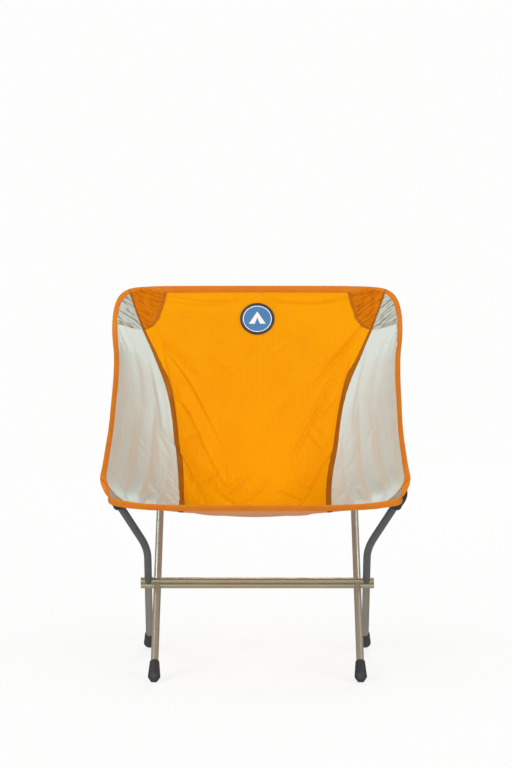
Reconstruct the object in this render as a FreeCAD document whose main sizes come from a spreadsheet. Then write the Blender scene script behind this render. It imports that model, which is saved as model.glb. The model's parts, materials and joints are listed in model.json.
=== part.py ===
"""Ultralight backpacking chair: a two-piece crossbar, crossed shock-corded poles and a slung seat.

Frame: millimetres, +Z up, +Y towards the backrest, +X towards the sitter's left hand.
The floor is Z = 0 and the origin is under the middle of the chair's bounding box.
"""
import FreeCAD, Part
import Sketcher
import math
import os

Vector = FreeCAD.Vector
SHEET = "Sizes"

# Driving dimensions: alias, value, what it measures. Lengths in mm, angles in degrees.
SIZES = [
    ("frame_shift", -21.55, "crossbar's place along Y from the origin"),
    ("bar_height", 144.0, "crossbar centre above the floor"),
    ("bar_half_length", 203.5, "half of the crossbar"),
    ("bar_seam_gap", 0.1, "each half stops this far from the middle"),
    ("bar_lobe_radius", 5.0, "corner lobe of the crossbar section"),
    ("bar_lobe_depth", 4.5, "lobe centre from the middle, front to back"),
    ("bar_lobe_rise", 4.0, "lobe centre from the middle, up and down"),
    ("bar_bore_radius", 4.6, "bore along the crossbar"),
    ("bar_ferrule_radius", 4.55, "sleeve that joins the two halves"),
    ("bar_ferrule_bore", 3.0, "bore of that sleeve"),
    ("bar_ferrule_half", 45.0, "half of that sleeve's length"),
    ("bar_cord_half", 70.0, "half of the cord inside the crossbar"),
    ("hole_radius", 6.55, "pole hole through the crossbar"),
    ("hole_half_length", 20.0, "half of the drill path of a pole hole"),
    ("pole_radius", 6.5, "outside of every pole tube"),
    ("pole_bore_radius", 5.5, "inside of every pole tube"),
    ("ferrule_radius", 5.45, "outside of a pole ferrule"),
    ("ferrule_bore", 4.4, "inside of a pole ferrule"),
    ("cord_radius", 1.5, "shock cord"),
    ("joint_gap", 0.1, "gap between two tube ends that butt"),
    ("back_pole_x", 174.5, "front leg and back pole, from the middle"),
    ("seat_pole_x", 190.5, "rear leg and seat pole, from the middle"),
    ("leg_slope", 42.2, "legs above the floor"),
    ("seat_splay", 1.4, "rear legs spread outwards by this much"),
    ("leg_reach", 199.6, "crossbar centre to foot centre along a leg"),
    ("leg_tube_end", 193.0, "crossbar centre to the leg tube's lower end"),
    ("leg_ferrule_up", 35.0, "ferrule above the crossbar centre"),
    ("leg_ferrule_down", 60.0, "ferrule below the crossbar centre"),
    ("front_cord_up", 104.0, "leg cord above the crossbar centre, back pole"),
    ("rear_cord_up", 68.0, "leg cord above the crossbar centre, seat pole"),
    ("leg_cord_down", 186.0, "leg cord below the crossbar centre"),
    ("foot_nose_radius", 6.0, "nose flat of a foot"),
    ("foot_nose_drop", 10.0, "nose below the foot centre"),
    ("foot_tip_drop", 10.6, "tip below the foot centre"),
    ("foot_wide_radius", 10.7, "widest ring of a foot"),
    ("foot_wide_drop", 1.5, "widest ring below the foot centre"),
    ("foot_collar_radius", 8.2, "collar at the top of a foot"),
    ("foot_collar_rise", 29.0, "collar above the foot centre"),
    ("foot_bore_radius", 6.55, "socket of a foot"),
    ("foot_bore_rise", 6.0, "socket floor above the foot centre"),
    ("foot_edge_round", 1.6, "rounding of the foot's edges"),
    ("back_stub_end", 69.0, "first back pole joint from the crossbar centre"),
    ("back_stub_ferrule_half", 26.0, "half of the ferrule in that joint"),
    ("back_bend_at", 191.7, "back pole bend from the crossbar centre"),
    ("back_bend_angle", 32.0, "back pole bend"),
    ("back_bend_turn", 68.9, "plane of that bend, from sideways"),
    ("back_bend_radius", 130.0, "radius of that bend"),
    ("back_joint_run", 138.0, "second back pole joint from the bend"),
    ("back_ferrule_half", 35.0, "half of the ferrule in that joint"),
    ("back_tip_run", 362.0, "back pole's end from the bend"),
    ("back_cord_start", 108.0, "back pole cord from the crossbar centre"),
    ("back_cord_run", 345.0, "back pole cord's end from the bend"),
    ("seat_bend_at", 109.0, "seat pole bend from the crossbar centre"),
    ("seat_bend_angle", 20.6, "seat pole bend"),
    ("seat_bend_turn", 5.9, "plane of that bend, from sideways"),
    ("seat_bend_radius", 170.0, "radius of that bend"),
    ("seat_tip_run", 163.0, "seat pole's end from the bend"),
    ("seat_cord_start", 72.0, "seat pole cord from the crossbar centre"),
    ("seat_cord_run", 148.0, "seat pole cord's end from the bend"),
    ("cap_stem_radius", 5.4, "stem of a pole tip cap"),
    ("cap_stem_length", 12.0, "length of that stem"),
    ("cap_straight", 3.5, "straight part of a tip cap's head"),
    ("cap_nose_radius", 4.2, "nose of a tip cap"),
    ("cap_nose_height", 6.5, "height of a tip cap's head"),
    ("cup_start", 132.0, "mouth of a front cup from the seat pole's bend"),
    ("cup_bore_radius", 7.0, "bore of a front cup"),
    ("cup_mouth_radius", 10.6, "outside of its mouth"),
    ("cup_wide_radius", 11.2, "its widest ring"),
    ("cup_wide_rise", 28.0, "widest ring above the mouth"),
    ("cup_floor_rise", 39.0, "inner end above the mouth"),
    ("cup_nose_radius", 6.0, "nose of the closed end"),
    ("cup_top_rise", 42.5, "closed end above the mouth"),
    ("sleeve_start", 324.0, "mouth of a back sleeve from the back pole's bend"),
    ("sleeve_bore_radius", 7.2, "bore of a back sleeve"),
    ("sleeve_radius", 8.6, "outside of a back sleeve"),
    ("sleeve_floor_rise", 46.0, "inner end above its mouth"),
    ("sleeve_nose_radius", 5.0, "nose of its closed end"),
    ("sleeve_top_rise", 48.0, "closed end above its mouth"),
    ("cloth_thickness", 1.2, "sling fabric solid"),
    ("binding_thickness", 2.4, "rim binding solid"),
    ("binding_width", 11.0, "rim binding, across"),
    ("strip_half_width", 3.5, "half of a seam strip"),
    ("cloth_gap", 0.3, "gap between two fabric pieces of the seat"),
    ("corner_gap", 1.0, "gap between the seat and a corner that pulls off"),
    ("gusset_gap", 2.2, "gap between a side panel and the front corner, across"),
    ("badge_half_width", 31.5, "half of the badge across"),
    ("badge_half_height", 29.0, "half of the badge up and down"),
    ("badge_drop", 60.0, "badge centre below the top rim"),
    ("badge_thickness", 1.0, "badge solid"),
    ("badge_clearance", 2.1, "back of the badge above the seat surface"),
]

# Sling shape, from the top rim (first) to the front hem (last), at equal steps of v.
# Middle line of the seat: (Y, Z) from the crossbar's line and the floor.
MIDDLE_LINE = [
    (240.0, 652.5), (236.0, 597.0), (227.0, 535.0), (212.0, 468.0), (188.0, 398.0), (152.0, 331.0),
    (95.0, 279.0), (15.0, 259.5), (-70.0, 267.0), (-142.0, 280.5), (-196.0, 306.0),
]
# Right-hand rim of the seat: (X, Y, Z).
RIM_LINE = [
    (205.0, 241.0, 651.0), (253.0, 240.0, 634.5), (264.0, 215.0, 575.0), (258.0, 160.0, 535.0),
    (254.0, 90.0, 496.0), (253.0, 20.0, 458.0), (252.0, -50.0, 422.0), (253.5, -115.0, 390.0),
    (255.0, -175.0, 364.0), (254.5, -211.0, 345.0), (238.0, -215.0, 321.0),
]
# Seam between the middle panel and a side panel: X.
SEAM_LINE = [236.0, 225.0, 198.0, 168.0, 150.0, 140.5, 133.5, 129.7, 127.2, 125.1, 123.7]

SIDE_FLATNESS = 2.1      # power of the cross curve in the open bucket
END_FLATNESS = 6.0       # power of the cross curve at the top rim and the front hem
TOP_BLEND = 0.12         # v over which the top rim's flat curve turns into the bucket's
HEM_BLEND = 0.15         # the same at the front hem
TOP_HEM = 0.02           # v covered by the top binding
FRONT_HEM = 0.022        # v covered by the front hem
POCKET_TOP_U = 0.80      # inner edge of a back pocket patch at the top rim
POCKET_V = 0.135         # lower edge of a back pocket patch
GUSSET_V = 0.80          # upper end of a front gusset
GUSSET_REACH = 0.30      # how far a front gusset reaches in from the rim
GUSSET_BOW = 1.6         # power of its inner edge's curve
HEM_LIP = 5.0            # mm that the seat drops just behind the front hem
TOP_LENGTH = 560.0       # mm of seat for one whole v, near the top rim
SIDE_LENGTH = 500.0      # the same along a side
PANEL_LENGTH = 450.0     # the same in the middle panel
NORMAL_STEP = 0.004      # step of u and v for a surface normal

doc = FreeCAD.newDocument("backpacking_chair")
sheet = doc.addObject("Spreadsheet::Sheet", SHEET)
nodes = []


def fill_sheet():
    for row, (alias, value, note) in enumerate(SIZES, start=1):
        sheet.set(f"A{row}", note)
        sheet.set(f"B{row}", str(value))
        sheet.setAlias(f"B{row}", alias)
    doc.recompute()


def size(name):
    return float(sheet.get(name))


def signed_size(term):
    """Value of a sheet alias, which may start with a minus sign, or of a plain zero."""
    if term == "0":
        return 0.0
    if term.startswith("-"):
        return -size(term[1:])
    return size(term)


def formula(term):
    return f"-{SHEET}.{term[1:]}" if term.startswith("-") else f"{SHEET}.{term}"


def keep(obj, label):
    obj.Label = label
    nodes.append(obj)
    return obj


# ---------------------------------------------------------------- sketches and bodies

def new_body(label):
    body = doc.addObject("PartDesign::Body", label)
    return keep(body, label)


def new_sketch(body, role):
    sketch = body.newObject("Sketcher::SketchObject", f"{body.Label}_{role}")
    plane = next(item for item in body.Origin.OriginFeatures if item.Role == role)
    sketch.AttachmentSupport = [(plane, "")]
    sketch.MapMode = "FlatFace"
    return sketch


def bind(sketch, constraint, expression):
    index = sketch.addConstraint(constraint)
    sketch.setExpression(f"Constraints[{index}]", expression)


def draw_ring(sketch, terms):
    """Concentric circles about the sketch's origin, one for each radius."""
    for term in terms:
        circle = Part.Circle(Vector(0, 0, 0), Vector(0, 0, 1), size(term))
        index = sketch.addGeometry(circle, False)
        sketch.addConstraint(Sketcher.Constraint("Coincident", index, 3, -1, 1))
        bind(sketch, Sketcher.Constraint("Radius", index, size(term)), formula(term))


def draw_outline(sketch, corners):
    """Closed outline whose corners are pairs of sheet terms."""
    points = [Vector(signed_size(across), signed_size(up), 0) for across, up in corners]
    count = len(points)
    for index in range(count):
        sketch.addGeometry(Part.LineSegment(points[index], points[(index + 1) % count]), False)
    for index in range(count):
        sketch.addConstraint(Sketcher.Constraint("Coincident", index, 2, (index + 1) % count, 1))
    for index, (across, up) in enumerate(corners):
        for kind, axis, term in (("DistanceX", -2, across), ("DistanceY", -1, up)):
            if term == "0":
                sketch.addConstraint(Sketcher.Constraint("PointOnObject", index, 1, axis))
            else:
                value = signed_size(term)
                bind(sketch, Sketcher.Constraint(kind, -1, 1, index, 1, value), formula(term))


def draw_spine(sketch, start, bend_at, radius, angle, run):
    """Straight, arc, straight: the centre line of a bent tube that starts up the sketch's Y axis."""
    turn = math.radians(size(angle))
    tangent = size(radius) * math.tan(turn / 2)
    rise = size(bend_at) - size(start) - tangent
    foot = Vector(0, 0, 0)
    knee = Vector(0, rise, 0)
    centre = Vector(size(radius), rise, 0)
    away = Vector(math.sin(turn), math.cos(turn), 0)
    heel = Vector(size(radius) * (1 - math.cos(turn)), rise + size(radius) * math.sin(turn), 0)
    tip = heel + away * (size(run) - tangent)
    sketch.addGeometry(Part.LineSegment(foot, knee), False)
    arc = Part.ArcOfCircle(Part.Circle(centre, Vector(0, 0, 1), size(radius)), math.pi - turn, math.pi)
    sketch.addGeometry(arc, False)
    sketch.addGeometry(Part.LineSegment(heel, tip), False)
    sketch.addConstraint(Sketcher.Constraint("Coincident", 0, 1, -1, 1))
    sketch.addConstraint(Sketcher.Constraint("Vertical", 0))
    sketch.addConstraint(Sketcher.Constraint("Tangent", 0, 2, 1, 2))
    sketch.addConstraint(Sketcher.Constraint("Tangent", 1, 1, 2, 1))
    tangent_text = f"{SHEET}.{radius} * tan({SHEET}.{angle} * 1 deg / 2)"
    bind(sketch, Sketcher.Constraint("Radius", 1, size(radius)), formula(radius))
    bind(sketch, Sketcher.Constraint("Distance", 0, rise),
         f"{SHEET}.{bend_at} - {SHEET}.{start} - {tangent_text}")
    bind(sketch, Sketcher.Constraint("Distance", 2, size(run) - tangent),
         f"{SHEET}.{run} - {tangent_text}")
    bind(sketch, Sketcher.Constraint("Angle", -2, 1, 2, 1, -turn), f"-{SHEET}.{angle} * 1 deg")


def straight_tube(label, radii, length, placement):
    """Round bar or tube along its own Z; length is an expression."""
    body = new_body(label)
    sketch = new_sketch(body, "XY_Plane")
    draw_ring(sketch, radii)
    pad = body.newObject("PartDesign::Pad", f"{label}_pad")
    pad.Profile = sketch
    pad.setExpression("Length", length)
    body.Placement = placement
    return body


def bent_tube(label, radii, start, bend_at, radius, angle, run, placement):
    """Round bar or tube that runs up its own Z and bends towards its own X."""
    body = new_body(label)
    profile = new_sketch(body, "XY_Plane")
    draw_ring(profile, radii)
    spine = new_sketch(body, "XZ_Plane")
    draw_spine(spine, start, bend_at, radius, angle, run)
    pipe = body.newObject("PartDesign::AdditivePipe", f"{label}_pipe")
    pipe.Profile = profile
    pipe.Spine = spine
    body.Placement = placement
    return body


def turned_part(label, corners, placement):
    """Solid of revolution about its own Z; corners are (radius, height) pairs of sheet terms."""
    body = new_body(label)
    sketch = new_sketch(body, "XZ_Plane")
    draw_outline(sketch, corners)
    turning = body.newObject("PartDesign::Revolution", f"{label}_turning")
    turning.Profile = sketch
    turning.ReferenceAxis = (sketch, ["V_Axis"])
    turning.Angle = 360
    body.Placement = placement
    return body


# ---------------------------------------------------------------- pole lines

def frame_point(x, y, z):
    """Point given from the crossbar's line, in the chair's own frame."""
    return Vector(x, y + size("frame_shift"), z)


def mirrored(vector, side):
    return Vector(vector.x * side, vector.y, vector.z)


class PoleLine:
    """Centre line of a leg and of the bent pole above it, on one side of the chair."""

    def __init__(self, side, x, forward, splay, bend_at, angle, turn):
        slope = math.radians(size("leg_slope"))
        lean = math.radians(splay)
        self.start = frame_point(side * x, 0, size("bar_height"))
        up = Vector(-math.sin(lean), -forward * math.cos(slope) * math.cos(lean),
                    math.sin(slope) * math.cos(lean))
        lift = Vector(0, forward * math.sin(slope), math.cos(slope))
        aside = lift.cross(up) * forward
        aside = aside if aside.x > 0 else aside * -1
        twist = math.radians(turn)
        bend = aside * math.cos(twist) + lift * math.sin(twist)
        bend = bend - up * bend.dot(up)
        bend.normalize()
        angle = math.radians(angle)
        tip = up * math.cos(angle) + bend * math.sin(angle)
        self.up = mirrored(up, side)
        self.bend = mirrored(bend, side)
        self.tip = mirrored(tip, side)
        self.knee = self.start + self.up * bend_at

    def below_bend(self, distance):
        """Placement at this distance up from the crossbar centre, X towards the bend."""
        return FreeCAD.Placement(self.start + self.up * distance, self.turned(self.up, self.bend))

    def above_bend(self, run):
        """Placement on the tip's straight, this far past the bend's corner."""
        side_step = self.bend - self.tip * self.bend.dot(self.tip)
        return FreeCAD.Placement(self.knee + self.tip * run, self.turned(self.tip, side_step))

    @staticmethod
    def turned(along, across):
        across = Vector(across)
        across.normalize()
        return FreeCAD.Rotation(across, along.cross(across), along, "ZXY")


def back_line(side):
    return PoleLine(side, size("back_pole_x"), -1, 0.0, size("back_bend_at"),
                    size("back_bend_angle"), size("back_bend_turn"))


def seat_line(side):
    return PoleLine(side, size("seat_pole_x"), 1, size("seat_splay"), size("seat_bend_at"),
                    size("seat_bend_angle"), size("seat_bend_turn"))


# ---------------------------------------------------------------- crossbar

def draw_lobes(sketch):
    """Four overlapping round lobes, which give the bar its grooved section."""
    radius = size("bar_lobe_radius")
    depth = size("bar_lobe_depth")
    rise = size("bar_lobe_rise")
    side_notch = math.atan2(math.sqrt(radius ** 2 - depth ** 2), -depth)
    end_notch = math.atan2(-rise, math.sqrt(radius ** 2 - rise ** 2))
    quarters = [(1, 1, end_notch, side_notch), (-1, 1, math.pi - side_notch, math.pi - end_notch),
                (-1, -1, math.pi + end_notch, math.pi + side_notch), (1, -1, -side_notch, -end_notch)]
    for across, up, first, last in quarters:
        centre = Vector(across * depth, up * rise, 0)
        circle = Part.Circle(centre, Vector(0, 0, 1), radius)
        sketch.addGeometry(Part.ArcOfCircle(circle, first, last), False)
    for index in range(4):
        sketch.addConstraint(Sketcher.Constraint("Coincident", index, 2, (index + 1) % 4, 1))
    for index, (across, up, _, _) in enumerate(quarters):
        bind(sketch, Sketcher.Constraint("Radius", index, radius), formula("bar_lobe_radius"))
        steps = (("DistanceX", across, "bar_lobe_depth"), ("DistanceY", up, "bar_lobe_rise"))
        for kind, factor, term in steps:
            value = factor * size(term)
            bind(sketch, Sketcher.Constraint(kind, -1, 1, index, 3, value),
                 f"{factor} * {SHEET}.{term}")


def drill(body, line, name):
    """Slanted pole hole through the bar, along the pole's own line."""
    hole = body.newObject("PartDesign::SubtractiveCylinder", f"{body.Label}_{name}")
    hole.setExpression("Radius", formula("hole_radius"))
    hole.setExpression("Height", f"2 * {SHEET}.hole_half_length")
    hole.Placement = body.Placement.inverse().multiply(line.below_bend(-size("hole_half_length")))


def crossbar_half(label, side):
    body = new_body(label)
    sketch = new_sketch(body, "YZ_Plane")
    draw_lobes(sketch)
    draw_ring(sketch, ["bar_bore_radius"])
    pad = body.newObject("PartDesign::Pad", f"{label}_pad")
    pad.Profile = sketch
    pad.Reversed = side < 0
    pad.setExpression("Length", f"{SHEET}.bar_half_length - {SHEET}.bar_seam_gap")
    body.Placement = FreeCAD.Placement(frame_point(side * size("bar_seam_gap"), 0, size("bar_height")),
                                       FreeCAD.Rotation())
    doc.recompute()
    drill(body, back_line(side), "back_pole_hole")
    drill(body, seat_line(side), "seat_pole_hole")


def make_crossbar():
    crossbar_half("crossbar_left", -1)
    crossbar_half("crossbar_right", 1)
    along_x = FreeCAD.Rotation(Vector(0, 0, 1), Vector(1, 0, 0))
    inner = (("crossbar_ferrule", ["bar_ferrule_radius", "bar_ferrule_bore"], "bar_ferrule_half"),
             ("crossbar_shock_cord", ["cord_radius"], "bar_cord_half"))
    for label, radii, half in inner:
        start = frame_point(-size(half), 0, size("bar_height"))
        straight_tube(label, radii, f"2 * {SHEET}.{half}", FreeCAD.Placement(start, along_x))


# ---------------------------------------------------------------- legs

def round_edges(body, radius_terms):
    """Rounds the circular edges of the last feature that have one of these radii."""
    doc.recompute()
    base = body.Tip
    wanted = [size(term) for term in radius_terms]
    names = []
    for index, edge in enumerate(base.Shape.Edges, start=1):
        if not isinstance(edge.Curve, Part.Circle):
            continue
        if min(abs(edge.Curve.Radius - radius) for radius in wanted) < 1e-6:
            names.append(f"Edge{index}")
    rounding = body.newObject("PartDesign::Fillet", f"{body.Label}_rounding")
    rounding.Base = (base, names)
    rounding.setExpression("Radius", formula("foot_edge_round"))


def foot(label, line):
    corners = [("0", "-foot_tip_drop"), ("foot_nose_radius", "-foot_nose_drop"),
               ("foot_wide_radius", "-foot_wide_drop"), ("foot_collar_radius", "foot_collar_rise"),
               ("foot_bore_radius", "foot_collar_rise"), ("foot_bore_radius", "foot_bore_rise"),
               ("0", "foot_bore_rise")]
    body = turned_part(label, corners, line.below_bend(-size("leg_reach")))
    round_edges(body, ["foot_wide_radius"])
    doc.recompute()
    block = 4 * size("foot_wide_radius")
    floor = body.newObject("PartDesign::SubtractiveBox", f"{label}_floor_cut")
    floor.setExpression("Length", f"4 * {SHEET}.foot_wide_radius")
    floor.setExpression("Width", f"4 * {SHEET}.foot_wide_radius")
    floor.setExpression("Height", f"4 * {SHEET}.foot_wide_radius")
    centre = body.Placement.Base
    corner = Vector(centre.x - block / 2, centre.y - block / 2, -block)
    below = FreeCAD.Placement(corner, FreeCAD.Rotation())
    floor.Placement = body.Placement.inverse().multiply(below)


def leg(name, line, cord_up, side_name):
    """Leg tube, its ferrule that plugs into the pole above, its cord and its foot."""
    label = f"{name}_leg_{side_name}"
    straight_tube(label, ["pole_radius", "pole_bore_radius"],
                  f"{SHEET}.leg_tube_end - {SHEET}.joint_gap", line.below_bend(-size("leg_tube_end")))
    straight_tube(f"{name}_leg_ferrule_{side_name}", ["ferrule_radius", "ferrule_bore"],
                  f"{SHEET}.leg_ferrule_up + {SHEET}.leg_ferrule_down",
                  line.below_bend(-size("leg_ferrule_down")))
    straight_tube(f"{name}_leg_cord_{side_name}", ["cord_radius"],
                  f"{SHEET}.{cord_up} + {SHEET}.leg_cord_down", line.below_bend(-size("leg_cord_down")))
    foot(f"{name}_foot_{side_name}", line)


# ---------------------------------------------------------------- poles above the crossbar

def tip_cap(label, placement):
    corners = [("0", "-cap_stem_length"), ("cap_stem_radius", "-cap_stem_length"),
               ("cap_stem_radius", "0"), ("pole_radius", "0"), ("pole_radius", "cap_straight"),
               ("cap_nose_radius", "cap_nose_height"), ("0", "cap_nose_height")]
    turned_part(label, corners, placement)


def back_pole(side, side_name):
    line = back_line(side)
    tube = ["pole_radius", "pole_bore_radius"]
    straight_tube(f"back_pole_stub_{side_name}", tube, f"{SHEET}.back_stub_end - {SHEET}.joint_gap",
                  line.below_bend(size("joint_gap")))
    straight_tube(f"back_stub_ferrule_{side_name}", ["ferrule_radius", "ferrule_bore"],
                  f"2 * {SHEET}.back_stub_ferrule_half",
                  line.below_bend(size("back_stub_end") - size("back_stub_ferrule_half")))
    bent_tube(f"back_pole_lower_{side_name}", tube, "back_stub_end", "back_bend_at", "back_bend_radius",
              "back_bend_angle", "back_joint_run", line.below_bend(size("back_stub_end")))
    straight_tube(f"back_pole_ferrule_{side_name}", ["ferrule_radius", "ferrule_bore"],
                  f"2 * {SHEET}.back_ferrule_half",
                  line.above_bend(size("back_joint_run") - size("back_ferrule_half")))
    straight_tube(f"back_pole_upper_{side_name}", tube,
                  f"{SHEET}.back_tip_run - {SHEET}.back_joint_run - {SHEET}.joint_gap",
                  line.above_bend(size("back_joint_run") + size("joint_gap")))
    bent_tube(f"back_pole_cord_{side_name}", ["cord_radius"], "back_cord_start", "back_bend_at",
              "back_bend_radius", "back_bend_angle", "back_cord_run",
              line.below_bend(size("back_cord_start")))
    tip_cap(f"back_tip_cap_{side_name}", line.above_bend(size("back_tip_run")))


def seat_pole(side, side_name):
    line = seat_line(side)
    bent_tube(f"seat_pole_{side_name}", ["pole_radius", "pole_bore_radius"], "joint_gap", "seat_bend_at",
              "seat_bend_radius", "seat_bend_angle", "seat_tip_run", line.below_bend(size("joint_gap")))
    bent_tube(f"seat_pole_cord_{side_name}", ["cord_radius"], "seat_cord_start", "seat_bend_at",
              "seat_bend_radius", "seat_bend_angle", "seat_cord_run",
              line.below_bend(size("seat_cord_start")))
    tip_cap(f"seat_tip_cap_{side_name}", line.above_bend(size("seat_tip_run")))


def corner_hardware(side, side_name):
    """Moulded cup on a seat pole's tip, and sewn sleeve on a back pole's tip."""
    cup = [("cup_bore_radius", "0"), ("cup_mouth_radius", "0"), ("cup_wide_radius", "cup_wide_rise"),
           ("cup_nose_radius", "cup_top_rise"), ("0", "cup_top_rise"), ("0", "cup_floor_rise"),
           ("cup_bore_radius", "cup_floor_rise")]
    turned_part(f"front_cup_{side_name}", cup, seat_line(side).above_bend(size("cup_start")))
    sleeve = [("sleeve_bore_radius", "0"), ("sleeve_radius", "0"),
              ("sleeve_radius", "sleeve_floor_rise"), ("sleeve_nose_radius", "sleeve_top_rise"),
              ("0", "sleeve_top_rise"), ("0", "sleeve_floor_rise"),
              ("sleeve_bore_radius", "sleeve_floor_rise")]
    turned_part(f"back_pocket_sleeve_{side_name}", sleeve,
                back_line(side).above_bend(size("sleeve_start")))


# ---------------------------------------------------------------- sling surface

def curvature(values):
    """Second differences of the natural cubic through equally spaced values."""
    last = len(values) - 1
    ratio = [0.0] * (last + 1)
    moment = [0.0] * (last + 1)
    for k in range(1, last):
        pivot = 4.0 - ratio[k - 1]
        ratio[k] = 1.0 / pivot
        moment[k] = (6.0 * (values[k + 1] - 2.0 * values[k] + values[k - 1]) - moment[k - 1]) / pivot
    for k in range(last - 1, 0, -1):
        moment[k] -= ratio[k] * moment[k + 1]
    return moment


def spline(values, v):
    """Natural cubic through equally spaced values, at v from 0 to 1."""
    moment = curvature(values)
    place = min(max(v, 0.0), 1.0) * (len(values) - 1)
    k = min(int(place), len(values) - 2)
    b = place - k
    a = 1.0 - b
    bow = (a ** 3 - a) * moment[k] + (b ** 3 - b) * moment[k + 1]
    return a * values[k] + b * values[k + 1] + bow / 6.0


def flatness(v):
    """Power of the cross curve: high where the edge is straight, low in the bucket."""
    extra = END_FLATNESS - SIDE_FLATNESS
    if v < TOP_BLEND:
        return SIDE_FLATNESS + extra * (1.0 - v / TOP_BLEND) ** 2
    if v > 1.0 - HEM_BLEND:
        return SIDE_FLATNESS + extra * ((v - 1.0 + HEM_BLEND) / HEM_BLEND) ** 2
    return SIDE_FLATNESS


def hem_lip(v):
    """Drop of the seat behind the front hem, which stands the hem up; greatest at the hem's top edge."""
    share = (1.0 - v) / FRONT_HEM
    return HEM_LIP * share * math.exp(1.0 - share)


def sling_point(u, v):
    """Point of the seat's upper surface: u across from rim to rim, v from the top to the hem."""
    middle_y, middle_z = (spline([point[k] for point in MIDDLE_LINE], v) for k in range(2))
    rim_x, rim_y, rim_z = (spline([point[k] for point in RIM_LINE], v) for k in range(3))
    weight = abs(u) ** flatness(v)
    return frame_point(rim_x * u, middle_y + (rim_y - middle_y) * weight,
                       middle_z + (rim_z - middle_z) * weight - hem_lip(v))


def sling_normal(u, v):
    """Unit normal of the seat, pointing towards the sitter."""
    across = sling_point(u + NORMAL_STEP, v) - sling_point(u - NORMAL_STEP, v)
    below = sling_point(u, min(v + NORMAL_STEP, 1.0))
    above = sling_point(u, max(v - NORMAL_STEP, 0.0))
    down = below - above
    normal = across.cross(down) * -1
    normal.normalize()
    return normal


def rim_u(v):
    """Inner edge of the rim binding."""
    stretch = (sling_point(1.0, v) - sling_point(1.0 - NORMAL_STEP, v)).Length / NORMAL_STEP
    return 1.0 - size("binding_width") / stretch


def seam_u(v):
    """Seam between the middle and side panels; above the pocket's lower edge, the pocket's inner edge."""
    if v < POCKET_V:
        share = v / POCKET_V
        return POCKET_TOP_U + (seam_u(POCKET_V) - POCKET_TOP_U) * share
    return spline(SEAM_LINE, v) / spline([point[0] for point in RIM_LINE], v)


def outer_u(v):
    """Outer edge of a side panel: the binding, then the front gusset's slanted edge."""
    if v < GUSSET_V:
        return rim_u(v)
    share = (v - GUSSET_V) / (1.0 - GUSSET_V)
    return rim_u(v) - GUSSET_REACH * share ** GUSSET_BOW


def gap_u(v, gap):
    """A gap in mm as a step of u."""
    return gap / spline([point[0] for point in RIM_LINE], v)


def sling_patch(low, high, top, bottom, inner, outer, across=9, down=11):
    """Closed solid between two offsets of the seat surface.

    low and high give u at v; top and bottom are v; inner and outer are heights above the seat
    surface, towards the sitter.
    """
    grids = []
    for offset in (inner, outer):
        grid = []
        for row in range(down):
            v = top + (bottom - top) * row / (down - 1)
            line = []
            for column in range(across):
                u = low(v) + (high(v) - low(v)) * column / (across - 1)
                line.append(sling_point(u, v) + sling_normal(u, v) * offset)
            grid.append(line)
        surface = Part.BSplineSurface()
        surface.interpolate(grid)
        grids.append(surface)
    faces = [surface.toShape() for surface in grids]
    edges = []
    for surface in grids:
        a0, a1, b0, b1 = surface.bounds()
        edges.append([surface.uIso(a0).toShape(), surface.uIso(a1).toShape(),
                      surface.vIso(b0).toShape(), surface.vIso(b1).toShape()])
    for first, second in zip(edges[0], edges[1]):
        faces.append(Part.makeRuledSurface(first, second))
    shell = Part.makeShell(faces)
    shell.sewShape()
    solid = Part.makeSolid(Part.Shell(shell.Faces))
    if solid.Volume < 0:
        solid.reverse()
    return solid


def sling_part(label, shape):
    placement = shape.Placement
    part = doc.addObject("Part::Feature", label)
    part.Shape = shape
    part.Placement = placement
    return keep(part, label)


def mirror_side(shape):
    return shape.mirror(Vector(0, 0, 0), Vector(1, 0, 0))


def both_sides(name, right):
    sling_part(f"{name}_right", right)
    sling_part(f"{name}_left", mirror_side(right))


def make_panels(gap, corner_gap, hem):
    """Middle panel, side panels and the seam strips between them."""
    cloth = size("cloth_thickness")
    proud = (size("binding_thickness") - cloth) / 2
    strip = size("strip_half_width")
    low_end = hem - gap / PANEL_LENGTH
    side_top = POCKET_V + corner_gap / SIDE_LENGTH

    def seam_inner(v):
        return seam_u(v) - gap_u(v, strip + gap)

    def seam_outer(v):
        return seam_u(v) + gap_u(v, strip + gap)

    def strip_inner(v):
        return seam_u(v) - gap_u(v, strip)

    def strip_outer(v):
        return seam_u(v) + gap_u(v, strip)

    def side_outer(v):
        return outer_u(v) - gap_u(v, size("gusset_gap"))

    sling_part("seat_panel", sling_patch(lambda v: -seam_inner(v), seam_inner,
                                         TOP_HEM + gap / PANEL_LENGTH, low_end,
                                         0.0, cloth, across=17, down=21))
    both_sides("seam_strip", sling_patch(strip_inner, strip_outer, side_top, low_end,
                                         -proud, cloth + proud, across=4, down=21))
    both_sides("side_panel", sling_patch(seam_outer, side_outer, side_top, low_end,
                                         0.0, cloth, across=11, down=21))


def make_bindings(gap, corner_gap, hem):
    """Tape round the seat's rim, between the corners that pull off."""
    cloth = size("cloth_thickness")
    proud = (size("binding_thickness") - cloth) / 2
    side_top = POCKET_V + corner_gap / SIDE_LENGTH
    side_end = GUSSET_V - corner_gap / SIDE_LENGTH
    top_reach = seam_u(0.0) - gap_u(0.0, size("strip_half_width") + gap)
    hem_reach = outer_u(1.0) - gap_u(1.0, corner_gap)
    both_sides("side_binding", sling_patch(rim_u, lambda v: 1.0, side_top, side_end,
                                           -proud, cloth + proud, across=4, down=17))
    sling_part("top_binding", sling_patch(lambda v: -top_reach, lambda v: top_reach, 0.0, TOP_HEM,
                                          -proud, cloth + proud, across=17, down=4))
    sling_part("hem_binding", sling_patch(lambda v: -hem_reach, lambda v: hem_reach, hem, 1.0,
                                          -proud, cloth + proud, across=17, down=4))


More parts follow.
